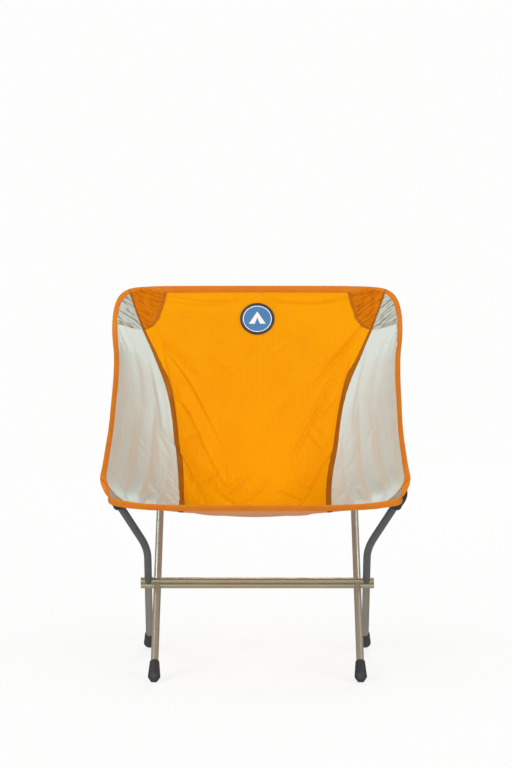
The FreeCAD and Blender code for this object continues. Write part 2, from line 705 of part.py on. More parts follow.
def make_corners(corner_gap):
    """Doubled fabric at the four corners, which comes away with the cups and sleeves."""
    cloth = size("cloth_thickness")
    proud = (size("binding_thickness") - cloth) / 2
    half_strip = size("strip_half_width") / 2
    both_sides("back_pocket_patch", sling_patch(lambda v: seam_u(v) - gap_u(v, half_strip), lambda v: 1.0,
                                                0.0, POCKET_V - corner_gap / SIDE_LENGTH,
                                                -proud, cloth + proud, across=9, down=9))
    both_sides("front_gusset", sling_patch(outer_u, lambda v: 1.0, GUSSET_V, 1.0,
                                           -proud, cloth + proud, across=7, down=9))


def make_sling():
    hem = 1.0 - FRONT_HEM
    make_panels(size("cloth_gap"), size("corner_gap"), hem)
    make_bindings(size("cloth_gap"), size("corner_gap"), hem)
    make_corners(size("corner_gap"))


def make_badge():
    """Oval patch sewn on the middle of the backrest, standing on the fabric's upper surface."""
    half_width = size("badge_half_width")
    half_height = size("badge_half_height")
    centre_v = size("badge_drop") / TOP_LENGTH
    centre = sling_point(0.0, centre_v)
    towards_sitter = sling_normal(0.0, centre_v)
    axis_x = Vector(1, 0, 0)
    axis_y = towards_sitter.cross(axis_x)
    ellipse = Part.Ellipse(Vector(0, 0, 0), half_width, half_height)
    face = Part.Face(Part.Wire([ellipse.toShape()]))
    solid = face.extrude(Vector(0, 0, size("badge_thickness")))
    solid.Placement = FreeCAD.Placement(centre + towards_sitter * size("badge_clearance"),
                                        FreeCAD.Rotation(axis_x, axis_y, towards_sitter, "ZXY"))
    sling_part("badge", solid)


# ---------------------------------------------------------------- build and write

def build():
    fill_sheet()
    make_crossbar()
    for side, side_name in ((-1, "left"), (1, "right")):
        leg("front", back_line(side), "front_cord_up", side_name)
        leg("rear", seat_line(side), "rear_cord_up", side_name)
        back_pole(side, side_name)
        seat_pole(side, side_name)
        corner_hardware(side, side_name)
    make_sling()
    make_badge()
    doc.recompute()


def check():
    failed = [obj.Name for obj in doc.Objects if "Invalid" in obj.State or "Error" in obj.State]
    if failed:
        raise RuntimeError(f"failed objects: {failed}")
    for node in nodes:
        if node.Shape.isNull() or not node.Shape.isValid() or node.Shape.Volume <= 0:
            raise RuntimeError(f"bad shape: {node.Label}")


def write():
    os.makedirs("parts", exist_ok=True)
    for node in nodes:
        node.Shape.exportStep(os.path.join("parts", f"{node.Label}.step"))
    whole = Part.makeCompound([node.Shape for node in nodes]).optimalBoundingBox(False)
    print(f"{len(nodes)} parts, X {whole.XMin:.1f} to {whole.XMax:.1f}, "
          f"Y {whole.YMin:.1f} to {whole.YMax:.1f}, Z {whole.ZMin:.1f} to {whole.ZMax:.1f}")


build()
check()
write()
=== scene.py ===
"""Looks of an ultralight backpacking chair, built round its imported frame. Metres, +Z up, front to -Y."""
import json
import math
import random

import bpy
import numpy as np
from mathutils import Matrix, Vector


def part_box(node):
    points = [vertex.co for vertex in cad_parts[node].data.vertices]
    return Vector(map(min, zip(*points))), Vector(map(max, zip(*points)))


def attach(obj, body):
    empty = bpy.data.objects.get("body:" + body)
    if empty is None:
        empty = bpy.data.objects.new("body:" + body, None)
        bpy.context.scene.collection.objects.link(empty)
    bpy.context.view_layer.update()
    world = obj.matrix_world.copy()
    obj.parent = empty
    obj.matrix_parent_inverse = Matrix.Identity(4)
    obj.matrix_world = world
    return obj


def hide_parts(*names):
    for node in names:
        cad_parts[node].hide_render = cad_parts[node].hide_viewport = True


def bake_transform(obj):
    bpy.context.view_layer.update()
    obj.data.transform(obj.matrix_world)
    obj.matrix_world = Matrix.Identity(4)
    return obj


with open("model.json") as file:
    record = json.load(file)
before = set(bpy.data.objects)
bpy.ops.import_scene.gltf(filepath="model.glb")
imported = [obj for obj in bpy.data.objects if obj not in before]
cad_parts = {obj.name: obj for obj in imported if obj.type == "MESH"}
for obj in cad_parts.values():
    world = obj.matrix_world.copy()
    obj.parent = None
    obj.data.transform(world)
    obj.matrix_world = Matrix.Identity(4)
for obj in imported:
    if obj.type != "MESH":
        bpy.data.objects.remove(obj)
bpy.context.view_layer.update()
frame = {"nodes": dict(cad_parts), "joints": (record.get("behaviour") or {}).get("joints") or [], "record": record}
MM = 0.001

BAR_LOW, BAR_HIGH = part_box("crossbar_left")
BAR_Y = (BAR_LOW.y + BAR_HIGH.y) / 2

# Sling shape in mm, from the top rim to the front hem at equal steps of v.
# The middle line (Y, Z) and the rim (X, Y, Z) are those of the frame's own design.
MIDDLE_LINE = [
    (240.0, 652.5), (236.0, 597.0), (227.0, 535.0), (212.0, 468.0), (188.0, 398.0), (152.0, 331.0),
    (95.0, 279.0), (15.0, 259.5), (-70.0, 267.0), (-142.0, 280.5), (-196.0, 306.0),
]
RIM_LINE = [
    (205.0, 241.0, 651.0), (253.0, 240.0, 634.5), (264.0, 215.0, 575.0), (258.0, 160.0, 535.0),
    (254.0, 90.0, 496.0), (253.0, 20.0, 458.0), (252.0, -50.0, 422.0), (253.5, -115.0, 390.0),
    (255.0, -175.0, 364.0), (254.5, -211.0, 345.0), (238.0, -215.0, 321.0),
]
# Distance of the seam from the middle: the frame's, with the first three 2 to 3 mm further out.
SEAM_LINE = [239.0, 228.0, 200.0, 168.0, 150.0, 140.5, 133.5, 129.7, 127.2, 125.1, 123.7]
SIDE_FLATNESS = 2.1      # power of the seat's cross curve along the sides
END_FLATNESS = 6.0       # the same at the top rim and the front hem
TOP_BLEND = 0.12         # v over which the power changes below the top rim
HEM_BLEND = 0.15         # the same behind the front hem
FRONT_HEM = 0.022        # v from the front hem to the deepest place of the lip behind it
HEM_LIP = 5.0            # depth of that lip, mm

HALF_WIDTH = 258.0       # mm for a unit of u, near enough for seams and hems
FRONT_HALF_WIDTH = 254.0    # the same at the front corners
TOP_LENGTH = 560.0       # mm for a unit of v near the top rim
FRONT_LENGTH = 480.0     # the same near the front hem
FOLD_SIZE = np.array([0.42, 0.72])    # metres for a unit of u and of v where the folds are
NORMAL_STEP = 0.004      # step of u and v from which normals are taken

SEAM_HALF = 4.8          # half width of the felled seam below the pocket patches, mm
SEAM_TOP_HALF = 2.0      # the same beside them
SEAM_PUCKERS = 470.0     # phase of the seam's puckers for a unit of v, radians
NEAR = 0.95              # sitter's side of the seat fabric above the seat surface, mm
FAR = 0.25               # its other side
SPLIT_V = 0.5            # where the back and front quarters of the sling meet

SIM_FRAMES = 16
SIM_GRAVITY = 0.4
SIM_LIMIT = 3.0          # the cloth simulation moves the fabric this far at most, mm
SIM_SETTINGS = {
    "quality": 6, "mass": 0.05, "tension_stiffness": 40, "compression_stiffness": 12, "shear_stiffness": 8,
    "bending_stiffness": 0.1, "tension_damping": 20, "shear_damping": 20, "air_damping": 6,
    "vertex_group_mass": "held", "pin_stiffness": 1.0,
}

# Folds: (u, v) at both ends, half width and height in mm. Positive stands towards the sitter.
# Each of these is made on both sides, a little different on each.
CREASES = [
    (0.9, 0.86, 0.85, 0.48, 6.5, 3.4), (0.84, 0.97, 0.78, 0.45, 6.0, -4.0),
    (0.78, 0.99, 0.72, 0.42, 6.0, 4.2), (0.73, 0.99, 0.66, 0.42, 5.0, -3.6),
    (0.67, 0.99, 0.61, 0.46, 5.0, 3.4), (0.94, 0.76, 0.91, 0.36, 8.0, -3.2),
    (0.67, 0.2, 0.575, 0.48, 5.0, 4.8), (0.86, 0.24, 0.81, 0.44, 9.0, 1.8),
    (0.74, 0.24, 0.64, 0.46, 6.0, -3.0), (0.78, 0.12, 0.42, 0.26, 5.5, 4.0),
    (0.74, 0.15, 0.3, 0.34, 6.5, -4.8), (0.66, 0.2, 0.22, 0.47, 6.0, 4.6),
    (0.56, 0.3, 0.24, 0.52, 6.0, -4.4), (0.78, 0.035, 0.12, 0.045, 5.0, 2.6),
    (0.7, 0.075, 0.15, 0.07, 5.5, -2.8), (0.6, 0.26, 0.46, 0.33, 5.0, 3.4),
    (0.56, 0.33, 0.42, 0.37, 5.0, -3.4), (0.52, 0.46, 0.38, 0.42, 5.0, 3.0),
    (0.4, 0.93, 0.15, 0.86, 7.0, -2.0), (0.28, 0.97, 0.05, 0.9, 7.0, 2.0),
    (0.52, 0.98, 0.36, 0.9, 6.0, 1.8),
]
# Folds on one side only.
LONE_CREASES = [
    (0.02, 0.5, -0.26, 0.6, 7.0, 6.5), (0.1, 0.53, -0.16, 0.64, 6.0, -6.0),
    (-0.22, 0.5, -0.46, 0.6, 7.0, 5.5), (0.24, 0.52, 0.42, 0.6, 6.5, -5.5),
    (0.14, 0.58, 0.36, 0.66, 7.0, 5.5), (0.34, 0.4, 0.5, 0.5, 5.5, 4.0), (-0.3, 0.6, -0.05, 0.68, 7.0, 5.5),
    (0.05, 0.22, 0.3, 0.16, 6.0, 3.0), (-0.44, 0.56, -0.5, 0.7, 6.0, -4.0),
    (-0.1, 0.3, -0.36, 0.22, 6.0, -3.0), (0.12, 0.36, 0.4, 0.27, 6.0, 3.4),
    (-0.05, 0.42, 0.18, 0.47, 7.0, 3.0),
]
SKEW = 3.6               # the front of the seat sits this far towards -X, mm
BELLY_LIFT = 4.5         # the middle of the seat's underside is lifted this far, mm


# ---------------------------------------------------------------- sling surface

def curvature(values):
    """Second derivatives of the natural cubic through equally spaced values."""
    last = len(values) - 1
    ratio = [0.0] * (last + 1)
    moment = [0.0] * (last + 1)
    for k in range(1, last):
        pivot = 4.0 - ratio[k - 1]
        ratio[k] = 1.0 / pivot
        moment[k] = (6.0 * (values[k + 1] - 2.0 * values[k] + values[k - 1]) - moment[k - 1]) / pivot
    for k in range(last - 1, 0, -1):
        moment[k] -= ratio[k] * moment[k + 1]
    return moment


def spline(values, v):
    """Natural cubic through equally spaced values, at each v from 0 to 1."""
    values = np.asarray(values, float)
    moment = np.array(curvature(list(values)))
    place = np.clip(v, 0.0, 1.0) * (len(values) - 1)
    k = np.minimum(place.astype(int), len(values) - 2)
    b = place - k
    a = 1.0 - b
    bow = (a ** 3 - a) * moment[k] + (b ** 3 - b) * moment[k + 1]
    return a * values[k] + b * values[k + 1] + bow / 6.0


def flatness(v):
    """Power of the seat's cross curve at v."""
    extra = END_FLATNESS - SIDE_FLATNESS
    top = extra * np.clip(1.0 - v / TOP_BLEND, 0, 1) ** 2
    hem = extra * np.clip((v - 1.0 + HEM_BLEND) / HEM_BLEND, 0, 1) ** 2
    return SIDE_FLATNESS + top + hem


def column(table, k):
    return [row[k] for row in table]


def smooth_shape(u, v):
    """Points of the unwrinkled seat surface, metres; u and v are arrays of one shape."""
    rim = [spline(column(RIM_LINE, k), v) for k in range(3)]
    middle = [spline(column(MIDDLE_LINE, k), v) for k in range(2)]
    weight = np.abs(u) ** flatness(v)
    edge = (1.0 - v) / FRONT_HEM
    lip = HEM_LIP * edge * np.exp(1.0 - edge)
    x = rim[0] * u
    y = middle[0] + (rim[1] - middle[0]) * weight
    z = middle[1] + (rim[2] - middle[1]) * weight - lip
    return np.stack([x * MM, y * MM + BAR_Y, z * MM], axis=-1)


def rim_width(v):
    """Half width of the seat at v, mm."""
    return spline(column(RIM_LINE, 0), v)


def seam_u(v):
    return np.minimum(spline(SEAM_LINE, v) / rim_width(v), 1.0)


def seam_step(v):
    """Half width of the seam as a step of u."""
    half = SEAM_TOP_HALF + (SEAM_HALF - SEAM_TOP_HALF) * smoothstep(0.13, 0.30, v)
    return half / rim_width(v)


def unit_normals(across, down):
    """Unit normals towards the sitter, from steps across and down the seat."""
    normal = -np.cross(across, down)
    return normal / np.maximum(np.linalg.norm(normal, axis=-1, keepdims=True), 1e-12)


def smooth_normal(u, v):
    """Unit normals of the smooth seat."""
    across = smooth_shape(u + NORMAL_STEP, v) - smooth_shape(u - NORMAL_STEP, v)
    down = smooth_shape(u, np.minimum(v + NORMAL_STEP, 1)) - smooth_shape(u, np.maximum(v - NORMAL_STEP, 0))
    return unit_normals(across, down)


def smoothstep(low, high, value):
    t = np.clip((value - low) / (high - low), 0, 1)
    return t * t * (3 - 2 * t)


def flare(u, v):
    """Swell just inside the side rims, in metres towards the sitter, which turns the binding outwards."""
    share = (1.0 - np.abs(u)) / 0.03
    strength = smoothstep(0.15, 0.35, v) * (1 - smoothstep(0.88, 0.98, v))
    return 3.0 * MM * share * np.exp(1.0 - share) * strength


def one_fold(u, v, ends, half, rise):
    """Height of one soft fold between two points of the seat, in metres."""
    start = np.array(ends[:2]) * FOLD_SIZE
    along = np.array(ends[2:]) * FOLD_SIZE - start
    p = np.stack([u, v], axis=-1) * FOLD_SIZE
    t = np.clip(((p - start) @ along) / (along @ along), 0.0, 1.0)
    distance = np.linalg.norm(p - start - t[..., None] * along, axis=-1)
    swell = np.sin(np.pi * np.clip(t * 0.9 + 0.05, 0, 1)) ** 0.7
    return rise * MM * swell * np.exp(-(distance / (half * MM * 1.25)) ** 2)


def fold_height(u, v):
    """Designed folds, in metres towards the sitter."""
    height = np.zeros_like(u)
    for side in (-1, 1):
        local = random.Random(5 + side)
        for u0, v0, u1, v1, half, rise in CREASES:
            shift = local.uniform(-0.025, 0.025) * min(1.0, v0 * 4)
            strength = rise * local.uniform(0.75, 1.25)
            height += one_fold(u, v, (u0 * side, v0 + shift, u1 * side, v1 + shift), half, strength)
    for u0, v0, u1, v1, half, rise in LONE_CREASES:
        height += one_fold(u, v, (u0, v0, u1, v1), half, rise)
    calm_u = np.clip((1.0 - np.abs(u)) / 0.05, 0, 1)
    calm_v = np.clip(np.minimum(v / 0.03, (1.0 - v) / 0.03), 0, 1)
    return height * calm_u * calm_v


class Sling:
    """The seat surface after its cloth simulation: smooth shape, plus the simulated change."""

    def __init__(self, across=141, down=169):
        self.across = across
        self.down = down
        self.u, self.v = np.meshgrid(np.linspace(-1, 1, across), np.linspace(0, 1, down))
        shape = smooth_shape(self.u, self.v)
        normals = unit_normals(np.gradient(shape, axis=1), np.gradient(shape, axis=0))
        folded = shape + normals * fold_height(self.u, self.v)[..., None]
        self.change = self.settle(folded) - shape

    def settle(self, start):
        """Lets the folded cloth settle under its own weight, held along its rim."""
        mesh = bpy.data.meshes.new("sling_sim")
        n, m = self.down, self.across
        index = np.arange(n * m).reshape(n, m)
        quads = np.stack([index[:-1, :-1], index[1:, :-1], index[1:, 1:], index[:-1, 1:]], axis=-1)
        mesh.from_pydata(start.reshape(-1, 3).tolist(), [], quads.reshape(-1, 4).tolist())
        sheet = bpy.data.objects.new("sling_sim", mesh)
        bpy.context.scene.collection.objects.link(sheet)
        group = sheet.vertex_groups.new(name="held")
        rim = np.concatenate([index[0], index[-1], index[:, 0], index[:, -1]])
        group.add([int(k) for k in rim], 1.0, "REPLACE")
        modifier = sheet.modifiers.new("cloth", "CLOTH")
        for name, value in SIM_SETTINGS.items():
            setattr(modifier.settings, name, value)
        modifier.settings.effector_weights.gravity = SIM_GRAVITY
        modifier.collision_settings.use_collision = False
        modifier.collision_settings.use_self_collision = False
        scene = bpy.context.scene
        modifier.point_cache.frame_start = scene.frame_start = 1
        modifier.point_cache.frame_end = scene.frame_end = SIM_FRAMES
        for number in range(1, SIM_FRAMES + 1):
            scene.frame_set(number)
        graph = bpy.context.evaluated_depsgraph_get()
        settled = sheet.evaluated_get(graph)
        data = np.zeros(n * m * 3)
        settled.data.vertices.foreach_get("co", data)
        bpy.data.objects.remove(sheet)
        bpy.data.meshes.remove(mesh)
        scene.frame_set(1)
        step = data.reshape(n, m, 3) - start
        length = np.linalg.norm(step, axis=-1, keepdims=True)
        most = SIM_LIMIT * MM * (1 - smoothstep(0.72, 0.88, self.v))[..., None]
        return start + step * np.minimum(1.0, most / np.maximum(length, 1e-9))

    def points(self, u, v):
        """Final surface at u, v, with the simulated change read off by a smooth cubic."""
        column_at = (np.clip(u, -1, 1) + 1) / 2 * (self.across - 1)
        row_at = np.clip(v, 0, 1) * (self.down - 1)
        i = np.clip(np.floor(row_at).astype(int), 0, self.down - 2)
        j = np.clip(np.floor(column_at).astype(int), 0, self.across - 2)
        row_weights = cubic_weights(row_at - i)
        column_weights = cubic_weights(column_at - j)
        change = np.zeros(u.shape + (3,))
        for a in range(4):
            rows = np.clip(i + a - 1, 0, self.down - 1)
            for b in range(4):
                columns = np.clip(j + b - 1, 0, self.across - 1)
                change += (row_weights[a] * column_weights[b])[..., None] * self.change[rows, columns]
        place = smooth_shape(u, v) + change + smooth_normal(u, v) * flare(u, v)[..., None]
        place[..., 0] -= SKEW * MM * smoothstep(0.25, 0.75, v)
        belly = smoothstep(0.48, 0.66, v) * (1 - smoothstep(0.86, 0.97, v))
        place[..., 2] += BELLY_LIFT * MM * belly * (1 - smoothstep(0.05, 0.5, np.abs(u)))
        return place

    def points_and_normals(self, u, v):
        """Surface points with normals from small steps in u and v, so that neighbours agree."""
        right, left = np.minimum(u + NORMAL_STEP, 1), np.maximum(u - NORMAL_STEP, -1)
        below, above = np.minimum(v + NORMAL_STEP, 1), np.maximum(v - NORMAL_STEP, 0)
        across = self.points(right, v) - self.points(left, v)
        down = self.points(u, below) - self.points(u, above)
        return self.points(u, v), unit_normals(across, down)


def cubic_weights(t):
    """Catmull-Rom weights of the four neighbours at fraction t."""
    return (
        -0.5 * t ** 3 + t ** 2 - 0.5 * t,
        1.5 * t ** 3 - 2.5 * t ** 2 + 1.0,
        -1.5 * t ** 3 + 2.0 * t ** 2 + 0.5 * t,
        0.5 * t ** 3 - 0.5 * t ** 2,
    )


# ---------------------------------------------------------------- materials

def srgb(red, green, blue):
    """Display colour, 0 to 255, as the linear colour that a shader takes."""
    def linear(value):
        c = value / 255.0
        return c / 12.92 if c <= 0.04045 else ((c + 0.055) / 1.055) ** 2.4
    return (linear(red), linear(green), linear(blue), 1.0)


class Nodes:
    """Short calls that add nodes to a tree and join them."""

    def __init__(self, tree):
        self.tree = tree

    def node(self, kind, **settings):
        made = self.tree.nodes.new(kind)
        for name, value in settings.items():
            setattr(made, name, value)
        return made

    def join(self, source, target):
        self.tree.links.new(source, target)

    def math(self, operation, first, second=None, clamp=False):
        made = self.node("ShaderNodeMath", operation=operation, use_clamp=clamp)
        for socket, value in zip(made.inputs, (first, second)):
            if value is None:
                continue
            if isinstance(value, (int, float)):
                socket.default_value = value
            else:
                self.join(value, socket)
        return made.outputs[0]

    def remap(self, socket, low, high, start=0.0, end=1.0, curve="LINEAR"):
        """Carries the range from start to end over to the range from low to high."""
        made = self.node("ShaderNodeMapRange", interpolation_type=curve)
        self.join(socket, made.inputs["Value"])
        for name, value in (("From Min", start), ("From Max", end), ("To Min", low), ("To Max", high)):
            made.inputs[name].default_value = value
        return made.outputs[0]


class Paint(Nodes):
    """A material built from nodes."""

    def __init__(self, name, color, roughness, metallic=0.0, specular=0.5):
        self.material = bpy.data.materials.new(name)
        self.material.use_nodes = True
        super().__init__(self.material.node_tree)
        self.shader = self.tree.nodes["Principled BSDF"]
        self.shader.inputs["Base Color"].default_value = color
        self.shader.inputs["Roughness"].default_value = roughness
        self.shader.inputs["Metallic"].default_value = metallic
        self.shader.inputs["Specular IOR Level"].default_value = specular

    def uv(self):
        """Flat cloth coordinates in metres, as two sockets."""
        made = self.node("ShaderNodeUVMap", uv_map="flat")
        parts = self.node("ShaderNodeSeparateXYZ")
        self.join(made.outputs["UV"], parts.inputs[0])
        return parts.outputs["X"], parts.outputs["Y"]

    def noise(self, scale, detail=3.0, vector=None):
        """Noise in the object's own space, or over another vector."""
        made = self.node("ShaderNodeTexNoise")
        made.inputs["Scale"].default_value = scale
        made.inputs["Detail"].default_value = detail
        self.join(vector or self.place(), made.inputs["Vector"])
        return made.outputs[0]

    def weighted(self, *terms):
        """Sum of sockets, each times its weight."""
        scaled = [self.math("MULTIPLY", socket, weight) for socket, weight in terms]
        total = scaled[0]
        for socket in scaled[1:]:
            total = self.math("ADD", total, socket)
        return total

    def place(self):
        return self.node("ShaderNodeTexCoord").outputs["Object"]

    def grid_line(self, socket, period, width):
        """1 on thin lines that repeat along one coordinate, 0 between them."""
        share = self.math("FRACT", self.math("MULTIPLY", socket, 1.0 / period))
        away = self.math("ABSOLUTE", self.math("SUBTRACT", share, 0.5))
        return self.remap(away, 0.0, 1.0, width / period, width / period * 0.4, "SMOOTHSTEP")

    def wave(self, socket, period):
        turned = self.math("SINE", self.math("MULTIPLY", socket, 2 * math.pi / period))
        return self.math("MULTIPLY_ADD", turned, 0.5)

    def tint(self, base, factor, color):
        """Mixes a colour in by factor; base is a colour or a socket."""
        made = self.node("ShaderNodeMix", data_type="RGBA")
        self.join(factor, made.inputs["Factor"])
        if isinstance(base, tuple):
            made.inputs["A"].default_value = base
        else:
            self.join(base, made.inputs["A"])
        made.inputs["B"].default_value = color
        return made.outputs["Result"]

    def finish(self, color=None, roughness=None, bump=None, depth=0.0002):
        if color is not None:
            self.join(color, self.shader.inputs["Base Color"])
        if roughness is not None:
            self.join(roughness, self.shader.inputs["Roughness"])
        if bump is not None:
            made = self.node("ShaderNodeBump")
            made.inputs["Distance"].default_value = depth
            made.inputs["Strength"].default_value = 1.0
            self.join(bump, made.inputs["Height"])
            self.join(made.outputs[0], self.shader.inputs["Normal"])
        return self.material


# ---------------------------------------------------------------- meshes

def new_object(name, points, faces, materials, slots=None, flat=None, normals=None, sharp=50.0):
    """Mesh object. slots is a material index for each face, flat a cloth coordinate for each point."""
    mesh = bpy.data.meshes.new(name)
    mesh.from_pydata(np.asarray(points).reshape(-1, 3).tolist(), [], [list(map(int, f)) for f in faces])
    for material in materials:
        mesh.materials.append(material)
    if slots is not None:
        mesh.polygons.foreach_set("material_index", np.asarray(slots, np.int32))
    mesh.polygons.foreach_set("use_smooth", np.ones(len(mesh.polygons), bool))
    if flat is not None:
        layer = mesh.uv_layers.new(name="flat")
        corner = np.zeros(len(mesh.loops), np.int32)
        mesh.loops.foreach_get("vertex_index", corner)
        layer.data.foreach_set("uv", np.asarray(flat).reshape(-1, 2)[corner].ravel())
    mesh.update()
    if normals is not None:
        mesh.normals_split_custom_set_from_vertices(np.asarray(normals).reshape(-1, 3).tolist())
    else:
        mesh.set_sharp_from_angle(angle=math.radians(sharp))
    made = bpy.data.objects.new(name, mesh)
    bpy.context.scene.collection.objects.link(made)
    return made


def shell_faces(rows, columns):
    """Quads of a closed thin shell: sitter's side, far side, then the edge walls."""
    near = np.arange(rows * columns).reshape(rows, columns)
    far = near + rows * columns

    def quads(a, b, c, d):
        return np.stack([a, b, c, d], axis=-1).reshape(-1, 4)

    front = quads(near[:-1, :-1], near[1:, :-1], near[1:, 1:], near[:-1, 1:])
    back = quads(far[:-1, 1:], far[1:, 1:], far[1:, :-1], far[:-1, :-1])
    top = quads(near[0, :-1], near[0, 1:], far[0, 1:], far[0, :-1])
    bottom = quads(near[-1, 1:], near[-1, :-1], far[-1, :-1], far[-1, 1:])
    left = quads(near[:-1, 0], far[:-1, 0], far[1:, 0], near[1:, 0])
    right = quads(near[1:, -1], far[1:, -1], far[:-1, -1], near[:-1, -1])
    walls = np.concatenate([top, bottom, left, right])
    return front, back, walls


def shell(name, near, far, materials, flat, normals=None):
    """Closed thin piece between two grids of points; the first material is on the sitter's side."""
    front, back, walls = shell_faces(*near.shape[:2])
    slots = [0] * len(front) + [len(materials) - 1] * len(back) + [0] * len(walls)
    points = np.concatenate([near.reshape(-1, 3), far.reshape(-1, 3)])
    both = np.concatenate([flat.reshape(-1, 2), flat.reshape(-1, 2)])
    if normals is not None:
        normals = np.concatenate([normals.reshape(-1, 3), -normals.reshape(-1, 3)])
    return new_object(name, points, np.concatenate([front, back, walls]), materials, slots, both, normals)


def tube_faces(rows, around):
    """Quads of a tube with rows of rings, and its two end caps."""
    index = np.arange(rows * around).reshape(rows, around)
    nxt = np.roll(index, -1, axis=1)
    faces = np.stack([index[:-1], nxt[:-1], nxt[1:], index[1:]], axis=-1).reshape(-1, 4).tolist()
    return faces + [index[0][::-1].tolist(), index[-1].tolist()]


class FlatMap:
    """Arc lengths of the smooth seat from its middle line and its top rim, in metres."""

    def __init__(self):
        self.u = np.linspace(-1, 1, 161)
        self.v = np.linspace(0, 1, 201)
        u, v = np.meshgrid(self.u, self.v)
        points = smooth_shape(u, v)
        steps = np.linalg.norm(np.diff(points, axis=1), axis=-1)
        across = np.concatenate([np.zeros((len(self.v), 1)), np.cumsum(steps, axis=1)], axis=1)
        self.across = across - across[:, len(self.u) // 2][:, None]
        steps = np.linalg.norm(np.diff(points, axis=0), axis=-1)
        self.down = np.concatenate([np.zeros((1, len(self.u))), np.cumsum(steps, axis=0)], axis=0)

    def at(self, u, v):
        i = np.clip(v, 0, 1) * (len(self.v) - 1)
        j = (np.clip(u, -1, 1) + 1) / 2 * (len(self.u) - 1)
        i0 = np.clip(i.astype(int), 0, len(self.v) - 2)
        j0 = np.clip(j.astype(int), 0, len(self.u) - 2)
        a, b = i - i0, j - j0

        def read(table):
            upper = table[i0, j0] * (1 - b) + table[i0, j0 + 1] * b
            lower = table[i0 + 1, j0] * (1 - b) + table[i0 + 1, j0 + 1] * b
            return upper * (1 - a) + lower * a

        return np.stack([read(self.across), read(self.down)], axis=-1)


# ---------------------------------------------------------------- seat pieces

SIDES = ((-1, "left"), (1, "right"))
EDGE_U = 0.988           # the fabric ends here, inside the binding
EDGE_V = 0.006           # the same at the top rim and the front hem
PATCH_END = (0.175, 0.189)    # v over which the seams come down off the pocket patches
POCKET_END = 0.181       # v of a back pocket patch's lower edge
# Inner edge of a back pocket patch: v, and mm from the middle.
POCKET_EDGE = [(0.0, 163.0), (0.035, 166.0), (0.089, 171.0), (0.136, 179.0), (0.161, 190.0), (0.174, 202.0),
               (0.181, 222.0)]
# Where a back pole runs behind the fabric: v, u.
POLE_PATH = [(0.08, 0.952), (0.117, 0.945), (0.129, 0.935), (0.154, 0.90), (0.175, 0.886)]
# Inner edge of a front corner flap: u, v.
FLAP_EDGE = [(1.0, 0.868), (0.972, 0.908), (0.938, 0.942), (0.885, 0.970), (0.815, 0.988)]
sling = Sling()
flat_map = FlatMap()


def panel_grid(side, low_v, high_v, low_u, high_u, columns, rows):
    """u and v of a panel on one side; low_u and high_u give the distance from the middle at v."""
    v = np.repeat(np.linspace(low_v, high_v, rows)[:, None], columns, axis=1)
    t = np.linspace(0, 1, columns)[None, :]
    u = low_u(v) * (1 - t) + high_u(v) * t
    return (u, v) if side > 0 else (-u[:, ::-1], v)


def lay(name, u, v, near, far, materials, smooth=True):
    """Closed piece of cloth on the settled seat, between two heights in mm."""
    base, normal = sling.points_and_normals(u, v)
    near = np.broadcast_to(near, u.shape)[..., None] * MM
    far = np.broadcast_to(far, u.shape)[..., None] * MM
    normals = normal if smooth else None
    return shell(name, base + normal * near, base + normal * far, materials, flat_map.at(u, v), normals)


def surface_line(u, v, height):
    """Points along a line on the settled seat, height mm above it, and their normals."""
    base, normal = sling.points_and_normals(u[None, :], v[None, :])
    return base[0] + normal[0] * np.reshape(height, (-1, 1)) * MM, normal[0]


def follow_corner(piece):
    """Bakes the piece's placement into its mesh."""
    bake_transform(piece)


def pocket_u(v):
    """Inner edge of a back pocket patch."""
    return np.interp(v, column(POCKET_EDGE, 0), column(POCKET_EDGE, 1)) / rim_width(v)


def clear_of_tape(u, v):
    """0 where the rim tape covers the fabric, 1 away from it."""
    return smoothstep(8.0, 11.0, np.minimum((1.0 - np.abs(u)) * HALF_WIDTH, v * TOP_LENGTH))


def over_patch(v):
    """1 where the seams lie on the pocket patches, 0 below them."""
    return 1 - smoothstep(*PATCH_END, v)


def make_cloth(paints):
    """Seat and side fabric and the seams between them, in quarters."""
    seam_start = 0.045
    t = np.abs(np.linspace(-1, 1, 11))[None, :]
    for side, word in SIDES:
        for end, low, high in (("back", EDGE_V, SPLIT_V), ("front", SPLIT_V, 1 - EDGE_V)):
            tag = f"{end}_{word}"
            u, v = panel_grid(side, low, high, lambda v: v * 0,
                              lambda v: np.minimum(seam_u(v), EDGE_U), 65, 97)
            seat = lay(f"seat_cloth_{tag}", u, v, NEAR, FAR, [paints["seat"], paints["seat_back"]])
            smooth_shape(u, v)
            top = max(low, seam_start)
            u, v = panel_grid(side, top, high, lambda v: seam_u(v) - 0.004, lambda v: v * 0 + EDGE_U, 45, 97)
            panel = lay(f"side_cloth_{tag}", u, v, NEAR, FAR, [paints["side"], paints["side_back"]])
            smooth_shape(u, v)
            u, v = panel_grid(side, top, high, lambda v: seam_u(v) - seam_step(v),
                              lambda v: np.minimum(seam_u(v) + seam_step(v), EDGE_U), 11, 121)
            pucker = 0.12 * np.sin(v * SEAM_PUCKERS + t * 2.0) * (1 - t)
            rise = (0.75 + pucker) * (1 - t ** 4) + 0.9 * over_patch(v)
            rise += 0.25 * np.exp(-((t - 0.55) / 0.2) ** 2)
            near = NEAR - 0.05 + rise * clear_of_tape(u, v)
            seam = lay(f"seam_tape_{tag}", u, v, near, FAR + 0.05 - 0.5 * (1 - t ** 4),
                       [paints["seam"], paints["seam"]], smooth=False)
            smooth_shape(u, v)
            for piece in (seat, panel, seam):
                follow_corner(piece)
            if end == "back":
                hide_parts(f"seam_strip_{word}")
                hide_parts(f"side_panel_{word}")
                if side < 0:
                    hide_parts("seat_panel")


